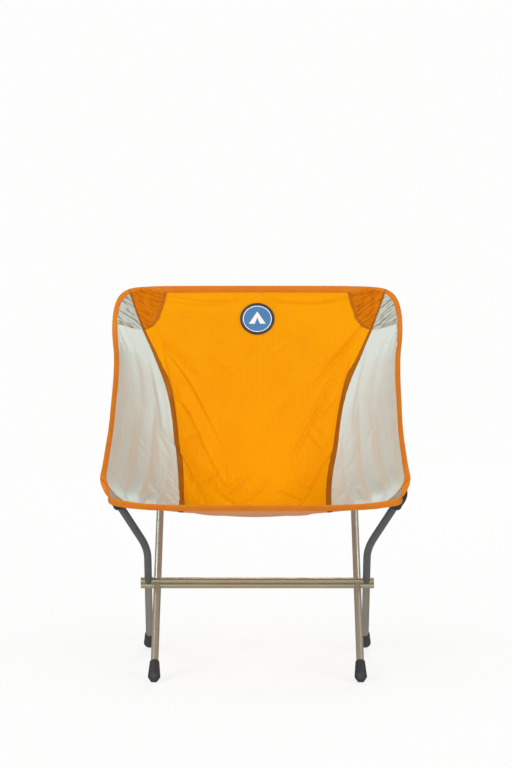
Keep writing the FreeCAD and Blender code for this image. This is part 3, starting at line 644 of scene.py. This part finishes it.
def smooth_loop(values, sigma):
    """Gaussian smoothing of samples round a closed loop; sigma in samples."""
    reach = int(4 * sigma)
    weights = np.exp(-0.5 * (np.arange(-reach, reach + 1) / sigma) ** 2)
    weights /= weights.sum()
    result = np.zeros_like(values)
    for offset, weight in zip(range(-reach, reach + 1), weights):
        result += weight * np.roll(values, offset, axis=0)
    return result


class Rim:
    """The seat's whole edge as one closed loop, in four quarters that start at the top middle."""

    QUARTER = 220

    def __init__(self):
        corners = [
            [(0, 0), (1, 0), (1, SPLIT_V)], [(1, SPLIT_V), (1, 1), (0, 1)],
            [(0, 1), (-1, 1), (-1, SPLIT_V)], [(-1, SPLIT_V), (-1, 0), (0, 0)],
        ]
        uv = np.concatenate([self.line(quarter)[:-1] for quarter in corners])
        u, v = uv[:, 0], uv[:, 1]
        points, normals = sling.points_and_normals(u[None, :], v[None, :])
        self.uv = uv
        self.points = smooth_loop(points[0], 2.6)
        self.normals = smooth_loop(normals[0], 3.0)
        tangent = np.roll(self.points, -1, axis=0) - np.roll(self.points, 1, axis=0)
        self.tangent = tangent / np.linalg.norm(tangent, axis=1, keepdims=True)
        inward = np.cross(self.normals, self.tangent)
        inside = sling.points(u[None, :] * 0.96, 0.03 + v[None, :] * 0.94)[0] - self.points
        inward *= np.sign((inward * inside).sum(axis=1))[:, None]
        self.inward = inward / np.linalg.norm(inward, axis=1, keepdims=True)
        self.width = self.tape_width()
        self.up = np.cross(self.tangent, self.inward)
        self.up *= np.sign((self.up * self.normals).sum(axis=1))[:, None]

    def tape_width(self):
        """Share of the tape's width that lies flat: less along the sides than round the corners."""
        away = np.abs(self.uv[:, 0])
        v = self.uv[:, 1]
        on_side = np.where(away > 0.9999, smoothstep(0.02, 0.12, v) * (1 - smoothstep(0.80, 0.93, v)), 0.0)
        return smooth_loop(1.0 - 0.24 * on_side, 3.0)[:, None]

    def line(self, corners):
        """Evenly spaced u, v along straight legs between corners."""
        dense = []
        for (u0, v0), (u1, v1) in zip(corners, corners[1:]):
            t = np.linspace(0, 1, 600)
            dense.append(np.stack([u0 + (u1 - u0) * t, v0 + (v1 - v0) * t], axis=1))
        dense = np.concatenate([dense[0], dense[1][1:]])
        points = smooth_shape(dense[:, 0], dense[:, 1])
        along = np.concatenate([[0], np.cumsum(np.linalg.norm(np.diff(points, axis=0), axis=1))])
        wanted = np.linspace(0, along[-1], self.QUARTER + 1)
        return np.stack([np.interp(wanted, along, dense[:, k]) for k in range(2)], axis=1)

    def quarter(self, number):
        """Indices of one quarter, both ends included."""
        first = number * self.QUARTER
        return np.arange(first, first + self.QUARTER + 1) % len(self.points)

    def at(self, index, inward, up):
        """Points at a distance in from the rim and a height above the seat, mm."""
        inward = np.where(inward > 0, inward * self.width[index], inward)
        return self.points[index] + self.inward[index] * inward * MM + self.up[index] * up * MM


# Folded binding: distance in from the rim and height over the seat surface, mm, round its section.
BINDING_SECTION = [
    (11.0, 1.75), (8.0, 2.05), (4.0, 2.15), (1.2, 2.05), (-0.4, 1.6), (-1.0, 0.6),
    (-0.4, -0.4), (1.2, -0.85), (4.0, -0.95), (8.0, -0.85), (11.0, -0.6),
    (11.0, 0.05), (1.4, 0.0), (0.8, 0.6), (1.4, 1.2), (11.0, 1.15),
]
QUARTERS = ((0, 1, "back"), (1, 1, "front"), (2, -1, "front"), (3, -1, "back"))


def make_binding(paints, rim):
    """Folded tape round the whole seat, in quarters."""
    for number, side, end in QUARTERS:
        word = "left" if side < 0 else "right"
        index = rim.quarter(number)
        count = len(index)
        wave = 0.10 * np.sin(index * 0.9) + 0.12 * np.sin(index * 0.37 + 1.0)
        rings = []
        coordinates = []
        for w, h in BINDING_SECTION:
            lift = h + np.where(np.abs(h - 0.6) > 0.8, wave, 0.0) * np.sign(h - 0.6)
            rings.append(rim.at(index, w, lift[:, None]))
            across = np.full(count, (w if h > 0.6 else -w) * MM)
            coordinates.append(np.stack([np.arange(count) * 0.003, across], axis=1))
        points = np.stack(rings, axis=1)
        flat = np.stack(coordinates, axis=1)
        faces = tube_faces(count, len(BINDING_SECTION))
        tape = new_object(f"rim_tape_{end}_{word}", points, faces, [paints["binding"]],
                          flat=flat, sharp=60.0)
        follow_corner(tape)
        if end == "back":
            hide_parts(f"side_binding_{word}")
        if side > 0:
            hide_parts("top_binding" if end == "back" else "hem_binding")


def make_back_corners(paints):
    """Pocket patches of the back poles: a doubled front and an arched pouch behind."""
    pole_v = column(POLE_PATH, 0)
    pole_u = column(POLE_PATH, 1)
    for side, word in SIDES:
        u, v = panel_grid(side, EDGE_V, POCKET_END, pocket_u,
                          lambda v: 0.985 - 0.014 * smoothstep(0.08, 0.13, v), 61, 65)
        x = np.abs(u) * HALF_WIDTH
        z = -v * TOP_LENGTH
        inside = smoothstep(6.5, 13.0, (np.abs(u) - pocket_u(v)) * HALF_WIDTH)
        inside *= smoothstep(10.0, 14.0, (1.0 - np.abs(u)) * HALF_WIDTH) * smoothstep(0.024, 0.045, v)
        inside *= smoothstep(0.011, 0.028, POCKET_END - v)
        inside *= smoothstep(1.0, 5.0, np.abs(np.abs(u) - seam_u(v)) * HALF_WIDTH)
        ruck = 0.8 * np.sin((z - 0.45 * x) * 0.62 + 1.6 * np.sin(x * 0.13))
        ruck += 0.7 * np.sin((z - 0.1 * x) * 0.41)
        patch_near = NEAR + 0.15 + 0.55 * clear_of_tape(u, v) + (1.3 + ruck) * inside
        patch = lay(f"pocket_front_{word}", u, v, patch_near, NEAR + 0.05,
                    [paints["pocket_outer"], paints["pocket_inner"]], smooth=False)
        centres = np.abs(u[:-1, :-1] + u[1:, 1:]) / 2
        middle_v = (v[:-1, :-1] + v[1:, 1:]) / 2
        slots = np.ones(len(patch.data.polygons), np.int32)
        slots[:centres.size] = (centres < seam_u(middle_v)).ravel()
        patch.data.polygons.foreach_set("material_index", slots)
        smooth_shape(u, v)
        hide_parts(f"back_pocket_patch_{word}")
        follow_corner(patch)

        u, v = panel_grid(side, 0.05, POCKET_END, lambda v: pocket_u(v) + 0.01,
                          lambda v: v * 0 + 0.982, 57, 49)
        away = (np.abs(u) - np.interp(v, pole_v, pole_u)) * rim_width(v)
        outer = (0.982 - np.interp(v, pole_v, pole_u)) * rim_width(v)
        inner_share = np.clip(-away / 46.0, 0, 1)
        outer_share = np.clip(away / outer, 0, 1)
        arch = np.where(away < 0, 0.5 + 0.5 * np.cos(np.pi * inner_share), np.cos(np.pi / 2 * outer_share))
        height = 23.5 * arch * smoothstep(0.075, 0.118, v) + 0.9
        height += 0.5 * np.sin(away * 0.5) * smoothstep(0.09, 0.14, v) * inner_share * (1 - inner_share) * 4
        hem = 0.7 * smoothstep(0.152, 0.156, v)
        pouch = lay(f"pole_pouch_{word}", u, v, 0.75 - height, -height - hem,
                    [paints["pouch"], paints["pouch"]], smooth=False)
        arched = smooth_shape(u, v) - smooth_normal(u, v) * height[..., None] * MM
        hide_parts(f"back_pocket_sleeve_{word}")
        follow_corner(pouch)


def make_front_corners(paints):
    """Triangular flaps inside the front corners, with their bound inner edges."""
    line = np.array(FLAP_EDGE)
    rows, columns = 41, 15
    t = np.linspace(0, 1, rows)
    knots = np.linspace(0, 1, len(line))
    inner = np.stack([np.interp(t, knots, line[:, k]) for k in range(2)], axis=1)
    # Outer edge, u and v: down the side, round the corner and in along the hem.
    outer_line = np.array([(0.988, 0.86), (0.988, 0.992), (0.80, 0.992)])
    outer = np.stack([np.interp(t, [0.0, 0.62, 1.0], outer_line[:, k]) for k in range(2)], axis=1)
    share = np.linspace(0, 1, columns)[None, :, None]
    grid = inner[:, None, :] * (1 - share) + outer[:, None, :] * share
    for side, word in SIDES:
        u = grid[..., 0] * side
        v = grid[..., 1]
        open_edge = np.sin(np.pi * t)[:, None] * (1 - share[..., 0]) ** 1.5
        from_rim = np.minimum((1.0 - np.abs(u)) * FRONT_HALF_WIDTH, (1.0 - v) * FRONT_LENGTH)
        cover = smoothstep(6.0, 10.0, from_rim)
        near = NEAR + 0.15 + (0.7 + 1.6 * open_edge) * cover
        far = near - 0.1 - 0.6 * cover
        if side < 0:
            u, v, near, far = u[:, ::-1], v[:, ::-1], near[:, ::-1], far[:, ::-1]
        flap = lay(f"shade_painted_flap_{word}", u, v, near, far, [paints["flap"], paints["flap"]], smooth=False)
        smooth_shape(u, v)
        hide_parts(f"front_gusset_{word}")
        follow_corner(flap)
        base, normal = surface_line(inner[:, 0] * side, inner[:, 1], 0.0)
        tangent = np.gradient(base, axis=0)
        tangent /= np.linalg.norm(tangent, axis=1, keepdims=True)
        across = np.cross(normal, tangent)
        lift = (NEAR - 0.2 + np.minimum(1.0, 6 * np.sin(np.pi * t)) + 1.4 * np.sin(np.pi * t))[:, None] * MM
        rings = []
        for k in range(10):
            angle = 2 * np.pi * k / 10
            high, wide = 0.6 * MM * np.sin(angle), 0.8 * MM * np.cos(angle)
            rings.append(base + normal * (lift + high) + across * wide)
        points = np.stack(rings, axis=1)
        piping = new_object(f"shade_painted_piping_{word}", points, tube_faces(rows, 10), [paints["piping"]])
        follow_corner(piping)


def pole_end(joint, node):
    """Direction of a joint's axis, and the middle of a node's end face in that direction."""
    rule = next(item for item in frame["joints"] if item["name"] == joint)
    along = np.array(Vector(rule["axis"]).normalized())
    points = np.array([vertex.co for vertex in frame["nodes"][node].data.vertices])
    reach = points @ along
    return along, points[reach > reach.max() - 0.5 * MM].mean(axis=0)


def make_cups(paints):
    """Pole cups under the front corners: a sewn black pocket with a rolled mouth."""
    outside = [      # mm from the pole's tip, half widths along and across the rim
        (-39.5, 9.2, 9.0), (-39.0, 10.2, 9.8), (-36.5, 10.6, 10.2), (-34.0, 10.0, 9.7), (-28.0, 10.2, 9.6),
        (-20.0, 11.0, 9.6), (-12.0, 11.8, 8.8), (-4.0, 11.8, 7.4), (1.0, 10.6, 5.4), (4.5, 8.6, 3.4),
        (6.5, 5.6, 1.6),
    ]
    bore = [(-20.0, 6.9, 6.9), (-30.0, 6.9, 6.9), (-39.5, 7.3, 7.3)]
    angle = np.linspace(0, 2 * np.pi, 40, endpoint=False)
    circle = np.stack([np.cos(angle), np.sin(angle)])
    squared = circle * (np.abs(circle) ** 2.4).sum(axis=0) ** (-1 / 2.4)
    for side, word in SIDES:
        along, tip = pole_end(f"front_corner_pull_{word}", f"seat_tip_cap_{word}")
        _, normal = sling.points_and_normals(np.array([[0.93 * side]]), np.array([[0.90]]))
        towards = normal[0, 0] - along * (normal[0, 0] @ along)
        towards /= np.linalg.norm(towards)
        across = np.cross(along, towards)
        rings = []
        for outline, stations in ((circle, bore), (squared, outside)):
            for s, wide, deep in stations:
                ring = np.outer(outline[0], across) * wide + np.outer(outline[1], towards) * deep
                rings.append(tip + along * s * MM + ring * MM)
        faces = tube_faces(len(rings), len(angle))
        cup = new_object(f"pole_cup_{word}", np.stack(rings), faces, [paints["cup"]], sharp=70.0)
        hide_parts(f"front_cup_{word}")
        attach(cup, f"front_corner_{word}")


def stitch_row(points, normals, spacing=3.3, length=2.3, thick=0.32):
    """Small stitches along a dense line of points; returns their points and faces."""
    steps = np.linalg.norm(np.diff(points, axis=0), axis=1)
    along = np.concatenate([[0], np.cumsum(steps)])
    places = np.arange(spacing * MM / 2, along[-1] - length * MM, spacing * MM)
    verts, faces = [], []
    shape = ((-0.5, 0.35), (-0.3, 1.0), (0.3, 1.0), (0.5, 0.35))
    for place in places:
        middle = np.array([np.interp(place, along, points[:, k]) for k in range(3)])
        ahead = np.array([np.interp(place + 0.0008, along, points[:, k]) for k in range(3)])
        normal = np.array([np.interp(place, along, normals[:, k]) for k in range(3)])
        tangent = (ahead - middle) / max(np.linalg.norm(ahead - middle), 1e-9)
        normal -= tangent * (normal @ tangent)
        normal /= np.linalg.norm(normal)
        across = np.cross(normal, tangent)
        first = len(verts)
        for step, width in shape:
            centre = middle + tangent * step * length * MM
            for a, b in ((1, 0), (0, 1), (-1, 0), (0, -1)):
                verts.append(centre + (across * a + normal * b) * width * thick * MM)
        for row in range(3):
            for k in range(4):
                a = first + row * 4 + k
                b = first + row * 4 + (k + 1) % 4
                faces.append([a, b, b + 4, a + 4])
        faces.append([first + 3, first + 2, first + 1, first])
        faces.append([first + 12, first + 13, first + 14, first + 15])
    return verts, faces


def make_stitches(paints, rim):
    """Stitch rows of the binding, the seams and the pocket patches, a piece of each for each quarter."""
    for number, side, end in QUARTERS:
        word = "left" if side < 0 else "right"
        index = rim.quarter(number)
        tape_row = (rim.at(index, 8.9, 2.1), rim.normals[index])
        low, high = (0.05, SPLIT_V) if end == "back" else (SPLIT_V, 0.985)
        v = np.linspace(low, high, 200)
        lift = NEAR + 0.65 + 0.9 * over_patch(v)
        seam_rows = [surface_line((seam_u(v) + share * seam_step(v)) * side, v, lift)
                     for share in (-0.72, 0.72)]
        stitched = [("stitches", [tape_row], "thread"), ("seam_stitches", seam_rows, "seam_thread")]
        if end == "back":
            rows = []
            for inset in (2.0, 5.2):
                lowest = POCKET_END - inset / TOP_LENGTH
                v = np.linspace(0.025, lowest, 120)
                rows.append(surface_line((pocket_u(v) + inset / HALF_WIDTH) * side, v, NEAR + 0.85))
                u = np.linspace(0.855, 0.965, 90) * side
                rows.append(surface_line(u, np.full(90, lowest), NEAR + 0.85))
            stitched.append(("pocket_stitches", rows, "pocket_thread"))
        for name, rows, paint in stitched:
            verts, faces = [], []
            for points, normals in rows:
                more, quads = stitch_row(points, normals, thick=0.62 if name == "pocket_stitches" else 0.32)
                faces += [[k + len(verts) for k in quad] for quad in quads]
                verts += more
            made = new_object(f"{name}_{end}_{word}", verts, faces, [paints[paint]])
            follow_corner(made)


def oval(width, height, thick, lift, name, material, around=96):
    """Flat oval disc in the badge's own plane: X across, Y up, Z towards the sitter; sizes in mm."""
    angle = np.linspace(0, 2 * np.pi, around, endpoint=False)
    rim_points = np.stack([np.cos(angle) * width / 2, np.sin(angle) * height / 2], axis=1)
    rings = []
    edge = ((1.0, 0.0), (1.0, thick * 0.6), (1 - 0.5 / width, thick * 0.9), (1 - 1.4 / width, thick))
    for scale, z in edge:
        rings.append(np.column_stack([rim_points * scale, np.full(around, z + lift)]))
    points = np.stack(rings) * MM
    return new_object(name, points, tube_faces(len(edge), around), [material], sharp=40.0)


def make_badge(paints):
    """Round patch with a plain tent, sewn on the middle of the backrest."""
    low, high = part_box("badge")
    base, normal = surface_line(np.array([0.0]), np.array([60.0 / TOP_LENGTH]), 0.0)
    z_axis = Vector(normal[0])
    x_axis = Vector((1, 0, 0))
    y_axis = z_axis.cross(x_axis).normalized()
    place = Matrix((x_axis, y_axis, z_axis)).transposed().to_4x4()
    place.translation = Vector(base[0]) + z_axis * 1.5 * MM
    width, height = (high.x - low.x) / MM, 58.0
    parts = [
        oval(width, height, 1.6, 0.0, "badge_ring", paints["badge_dark"]),
        oval(width - 10, height - 10, 0.5, 1.5, "badge_line", paints["badge_white"]),
        oval(width - 13, height - 13, 0.5, 1.8, "badge_field", paints["badge_blue"]),
    ]
    tent = [(-15.5, -9.0), (15.5, -9.0), (0.0, 13.5)]
    door = [(-4.6, -9.0), (4.6, -9.0), (0.0, 2.6)]
    for name, outline, lift, thick, paint in (("badge_tent", tent, 2.2, 0.5, "badge_white"),
                                              ("badge_door", door, 2.6, 0.25, "badge_blue")):
        points = [(x * MM, y * MM, z * MM) for z in (lift, lift + thick) for x, y in outline]
        faces = [[2, 1, 0], [3, 4, 5], [0, 1, 4, 3], [1, 2, 5, 4], [2, 0, 3, 5]]
        parts.append(new_object(name, points, faces, [paints[paint]]))
    for part in parts:
        part.data.transform(place)
        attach(part, "frame")
    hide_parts("badge")


# ---------------------------------------------------------------- paints of the chair

def ruck_noise(paint, across, down):
    """Noise drawn out along the slanting wrinkles of a pocket patch, for their bumps and their painted shade."""
    slant = paint.math("ADD", down, paint.math("MULTIPLY", paint.math("ABSOLUTE", across), 0.45))
    joined = paint.node("ShaderNodeCombineXYZ")
    paint.join(paint.math("MULTIPLY", across, 0.22), joined.inputs["X"])
    paint.join(slant, joined.inputs["Y"])
    return paint.noise(230.0, 2.0, joined.outputs[0])


def ripstop(name, color, shade, line, roughness=0.5, specular=0.12, crinkles=16.0, ruck_shade=None):
    """Crinkled weave with a reinforcing grid. line is the grid's colour, ruck_shade the painted shade colour of
    deep wrinkles.
    """
    paint = Paint(name, color, roughness, specular=specular)
    across, down = paint.uv()
    grid = paint.math("MAXIMUM", *(paint.grid_line(socket, 0.0033, 0.00055) for socket in (across, down)))
    broad = paint.noise(9.0)
    fine = paint.noise(900.0, 2.0)
    weave = paint.math("MULTIPLY", paint.wave(across, 0.00062), paint.wave(down, 0.00062))
    mixed = paint.tint(color, paint.remap(broad, 0.0, 0.55, 0.35, 0.7), shade)
    mixed = paint.tint(mixed, paint.math("MULTIPLY", grid, 0.5), line)
    mixed = paint.tint(mixed, paint.remap(fine, 0.0, 0.18, 0.3, 0.75), shade)
    heights = [(grid, 0.9), (weave, 0.45), (fine, 0.5), (paint.noise(42.0, 5.0), crinkles)]
    if ruck_shade is not None:
        ruck_bump_and_shade = ruck_noise(paint, across, down)
        # Painted shade: darkens the deep wrinkles with ruck_shade; the same noise raises them as bumps below.
        mixed = paint.tint(mixed, paint.remap(ruck_bump_and_shade, 0.85, 0.0, 0.36, 0.52), ruck_shade)
        heights.append((ruck_bump_and_shade, 12.0))
    rough = paint.remap(fine, roughness - 0.06, roughness + 0.1, 0.3, 0.7)
    return paint.finish(mixed, rough, paint.weighted(*heights), 0.00009)


def tape_paint(name, color, shade, period=0.0011):
    """Narrow woven tape with ribs across it."""
    paint = Paint(name, color, 0.66, specular=0.12)
    across, down = paint.uv()
    ribs = paint.wave(across, period)
    cross = paint.wave(down, period * 0.9)
    fine = paint.noise(700.0)
    broad = paint.noise(30.0, 2.0)
    mixed = paint.tint(color, paint.remap(broad, 0.0, 0.5, 0.3, 0.75), shade)
    mixed = paint.tint(mixed, paint.remap(fine, 0.0, 0.35, 0.35, 0.75), shade)
    height = paint.math("ADD", paint.math("MULTIPLY", ribs, cross), paint.math("MULTIPLY", fine, 0.8))
    return paint.finish(mixed, None, height, 0.00012)


def plain_cloth(name, color, shade, roughness=0.7):
    paint = Paint(name, color, roughness, specular=0.2)
    fine = paint.noise(800.0)
    broad = paint.noise(40.0)
    mixed = paint.tint(color, paint.remap(broad, 0.0, 0.6, 0.3, 0.7), shade)
    return paint.finish(mixed, None, fine, 0.00012)


def metal(name, color, dark, roughness, metallic=0.78):
    """Anodised or coated tube: fine grain, faint handling marks."""
    paint = Paint(name, color, roughness, metallic=metallic)
    fine = paint.noise(1500.0, 2.0)
    broad = paint.noise(14.0, 4.0)
    mixed = paint.tint(color, paint.remap(broad, 0.0, 0.45, 0.35, 0.75), dark)
    grain = paint.remap(fine, -0.03, 0.05, 0.3, 0.7)
    marks = paint.remap(broad, roughness - 0.04, roughness + 0.05, 0.3, 0.7)
    return paint.finish(mixed, paint.math("ADD", grain, marks), fine, 0.000004)


def coat(name, color, dark, roughness, grain=420.0, depth=0.00005):
    """Matte coating, plastic or rubber with a fine grain."""
    paint = Paint(name, color, roughness, specular=0.45)
    fine = paint.noise(grain)
    broad = paint.noise(22.0)
    mixed = paint.tint(color, paint.remap(broad, 0.0, 0.7, 0.3, 0.75), dark)
    rough = paint.remap(fine, roughness - 0.06, roughness + 0.08, 0.3, 0.7)
    return paint.finish(mixed, rough, fine, depth)


def make_paints():
    """Materials of the sling, its threads and its badge."""
    return {
        "seat": ripstop("seat_cloth", srgb(243, 161, 0), srgb(232, 146, 0), srgb(216, 130, 0),
                        specular=0.04, crinkles=34.0),
        "seat_back": ripstop("seat_cloth_back", srgb(240, 164, 110), srgb(230, 152, 98), srgb(216, 138, 86)),
        "side": ripstop("side_cloth", srgb(200, 208, 201), srgb(187, 192, 182), srgb(226, 230, 222),
                        roughness=0.4, specular=0.45),
        "side_back": ripstop("side_cloth_back", srgb(178, 178, 170), srgb(168, 168, 160),
                             srgb(150, 150, 144)),
        "seam": tape_paint("seam_tape", srgb(170, 98, 6), srgb(138, 74, 4)),
        "binding": tape_paint("rim_tape", srgb(218, 126, 30), srgb(200, 108, 22)),
        # Partly painted shade: the piping's own orange-brown, painted darker for the shade at the flaps' inner
        # edges.
        "piping": tape_paint("shade_painted_piping", srgb(180, 112, 40), srgb(150, 90, 30)),
        "thread": coat("thread", srgb(206, 116, 30), srgb(180, 94, 20), 0.7),
        "seam_thread": coat("seam_thread", srgb(146, 82, 10), srgb(126, 66, 6), 0.7),
        "pocket_thread": coat("pocket_thread", srgb(136, 88, 48), srgb(112, 70, 34), 0.7),
        # The ruck_shade colours of both pocket paints are painted shade in the patches' wrinkles.
        "pocket_inner": ripstop("pocket_inner", srgb(216, 124, 4), srgb(200, 108, 0), srgb(184, 94, 0),
                                specular=0.05, ruck_shade=srgb(178, 90, 0)),
        "pocket_outer": ripstop("pocket_outer", srgb(186, 190, 178), srgb(168, 172, 160),
                                srgb(204, 207, 197), ruck_shade=srgb(104, 106, 92)),
        # Partly painted shade: the flap's grey, painted darker and browner for the shade in the front corners.
        "flap": ripstop("shade_painted_flap", srgb(150, 146, 130), srgb(122, 116, 98), srgb(170, 168, 156)),
        "pouch": plain_cloth("pole_pouch", srgb(58, 58, 58), srgb(44, 44, 46)),
        "cup": coat("pole_cup", srgb(40, 40, 42), srgb(28, 28, 30), 0.6, 900.0, 0.0001),
        "badge_dark": coat("badge_dark", srgb(46, 44, 50), srgb(36, 34, 40), 0.5),
        "badge_white": coat("badge_white", srgb(236, 236, 232), srgb(226, 226, 222), 0.5),
        "badge_blue": coat("badge_blue", srgb(62, 122, 176), srgb(52, 108, 162), 0.45),
    }


def paint_frame():
    """Materials of the tubes, bar, feet and cords, which keep the frame's own shapes."""
    finishes = {
        "bar_anodised": metal("bar_anodised", srgb(170, 160, 134), srgb(152, 142, 116), 0.34),
        "champagne_tube": metal("champagne_tube", srgb(214, 208, 194), srgb(198, 192, 178), 0.27),
        "front_leg_tube": metal("front_leg_tube", srgb(176, 168, 150), srgb(160, 152, 136), 0.24, 0.5),
        "grey_tube": metal("grey_tube", srgb(152, 143, 130), srgb(138, 129, 116), 0.32),
        "black_tube": coat("black_tube", srgb(84, 85, 88), srgb(70, 72, 76), 0.40, 1200.0, 0.00002),
        "bare_aluminium": metal("bare_aluminium", srgb(205, 205, 208), srgb(190, 190, 194), 0.25),
        "shock_cord": plain_cloth("shock_cord", srgb(225, 225, 220), srgb(205, 205, 200)),
        "cap_plastic": coat("cap_plastic", srgb(36, 36, 38), srgb(28, 28, 30), 0.45),
        "foot_rubber": coat("foot_rubber", srgb(52, 50, 52), srgb(42, 40, 42), 0.6, 300.0, 0.00008),
    }
    slots = {part["node"]: part["material_slot"] for part in frame["record"]["subparts"]}
    for node, piece in frame["nodes"].items():
        leg = node in ("front_leg_left", "front_leg_right")
        finish = finishes.get("front_leg_tube" if leg else slots[node])
        if finish is None:
            continue
        piece.data.materials.clear()
        piece.data.materials.append(finish)


# ---------------------------------------------------------------- studio

def make_floor():
    """Pale floor, 77 % clear under the chair and 98.5 % clear from 0.85 m out."""
    bpy.ops.mesh.primitive_circle_add(vertices=128, radius=3.0, fill_type="NGON", location=(0, 0, -0.0004))
    floor = bpy.context.object
    floor.name = "studio_floor"
    paint = Paint("studio_floor", (0.93, 0.93, 0.93, 1.0), 0.85, specular=0.1)
    away = paint.node("ShaderNodeVectorMath", operation="LENGTH")
    paint.join(paint.place(), away.inputs[0])
    clear = paint.node("ShaderNodeBsdfTransparent")
    mix = paint.node("ShaderNodeMixShader")
    fade = paint.remap(away.outputs["Value"], 0.77, 0.985, 0.05, 0.85, "SMOOTHERSTEP")
    for number, source in enumerate((fade, paint.shader.outputs[0], clear.outputs[0])):
        paint.join(source, mix.inputs[number])
    output = next(node for node in paint.tree.nodes if node.type == "OUTPUT_MATERIAL")
    paint.join(mix.outputs[0], output.inputs["Surface"])
    floor.data.materials.append(paint.material)


def area_light(name, place, height, size, power):
    """Rectangular light that looks at a point on the chair's middle line, height above the floor."""
    light = bpy.data.lights.new(name, "AREA")
    light.shape = "RECTANGLE"
    light.size, light.size_y = size
    light.energy = power
    made = bpy.data.objects.new(name, light)
    made.location = place
    made.rotation_euler = (Vector((0, 0, height)) - Vector(place)).to_track_quat("-Z", "Y").to_euler()
    bpy.context.scene.collection.objects.link(made)


def make_world():
    """White surroundings, brighter from the front and from below, that the camera sees as one pale tone."""
    world = bpy.data.worlds.new("studio")
    world.use_nodes = True
    sky = Nodes(world.node_tree)
    light = sky.tree.nodes["Background"]
    light.inputs["Color"].default_value = (1.0, 1.0, 1.0, 1.0)
    parts = sky.node("ShaderNodeSeparateXYZ")
    sky.join(sky.node("ShaderNodeTexCoord").outputs["Generated"], parts.inputs[0])
    front = sky.remap(parts.outputs["Y"], 0.24, 0.56, 0.6, -0.9)
    below = sky.math("MULTIPLY", parts.outputs["Z"], -0.35, clamp=True)
    sky.join(sky.math("ADD", front, below), light.inputs["Strength"])
    plain = sky.node("ShaderNodeBackground")
    plain.inputs["Color"].default_value = (0.985, 0.985, 0.98, 1.0)
    mix = sky.node("ShaderNodeMixShader")
    seen = sky.node("ShaderNodeLightPath").outputs["Is Camera Ray"]
    for number, source in enumerate((seen, light.outputs[0], plain.outputs[0])):
        sky.join(source, mix.inputs[number])
    sky.join(mix.outputs[0], sky.tree.nodes["World Output"].inputs["Surface"])
    bpy.context.scene.world = world


LIGHTS = [      # name, place, height that it looks at, width and height in metres, watts
    ("key_left", (-2.2, -2.4, 2.0), 0.4, (0.7, 1.4), 36),
    ("key_right", (2.3, -2.2, 1.9), 0.4, (0.7, 1.4), 28),
    ("strip_left", (-0.9, -2.6, 0.7), 0.25, (0.14, 1.3), 12),
    ("strip_right", (0.8, -2.6, 0.7), 0.25, (0.10, 1.3), 7),
    ("side_left", (-1.6, 0.0, 2.2), 0.2, (1.4, 0.25), 9),
    ("side_right", (1.6, 0.0, 2.2), 0.2, (1.4, 0.25), 7),
    ("behind", (0.6, 3.2, 1.9), 0.4, (1.8, 1.0), 60),
]


def make_studio():
    make_floor()
    make_world()
    bpy.context.scene.view_settings.view_transform = "Standard"
    for light in LIGHTS:
        area_light(*light)


def make_camera():
    """The photo's view: 4 m in front of the crossbar, a little above the chair and tilted down."""
    camera = bpy.data.cameras.new("photo_camera")
    camera.lens = 108.4
    camera.sensor_width = 36.0
    made = bpy.data.objects.new("photo_camera", camera)
    made.location = (-0.0024, BAR_Y - 4.0, 0.820)
    made.rotation_euler = (math.radians(90.0 - 4.681), 0.0, 0.0)
    bpy.context.scene.collection.objects.link(made)
    bpy.context.scene.camera = made


def main():
    paints = make_paints()
    rim = Rim()
    make_cloth(paints)
    make_binding(paints, rim)
    make_back_corners(paints)
    make_front_corners(paints)
    make_cups(paints)
    make_stitches(paints, rim)
    make_badge(paints)
    paint_frame()
    make_studio()
    make_camera()


main()
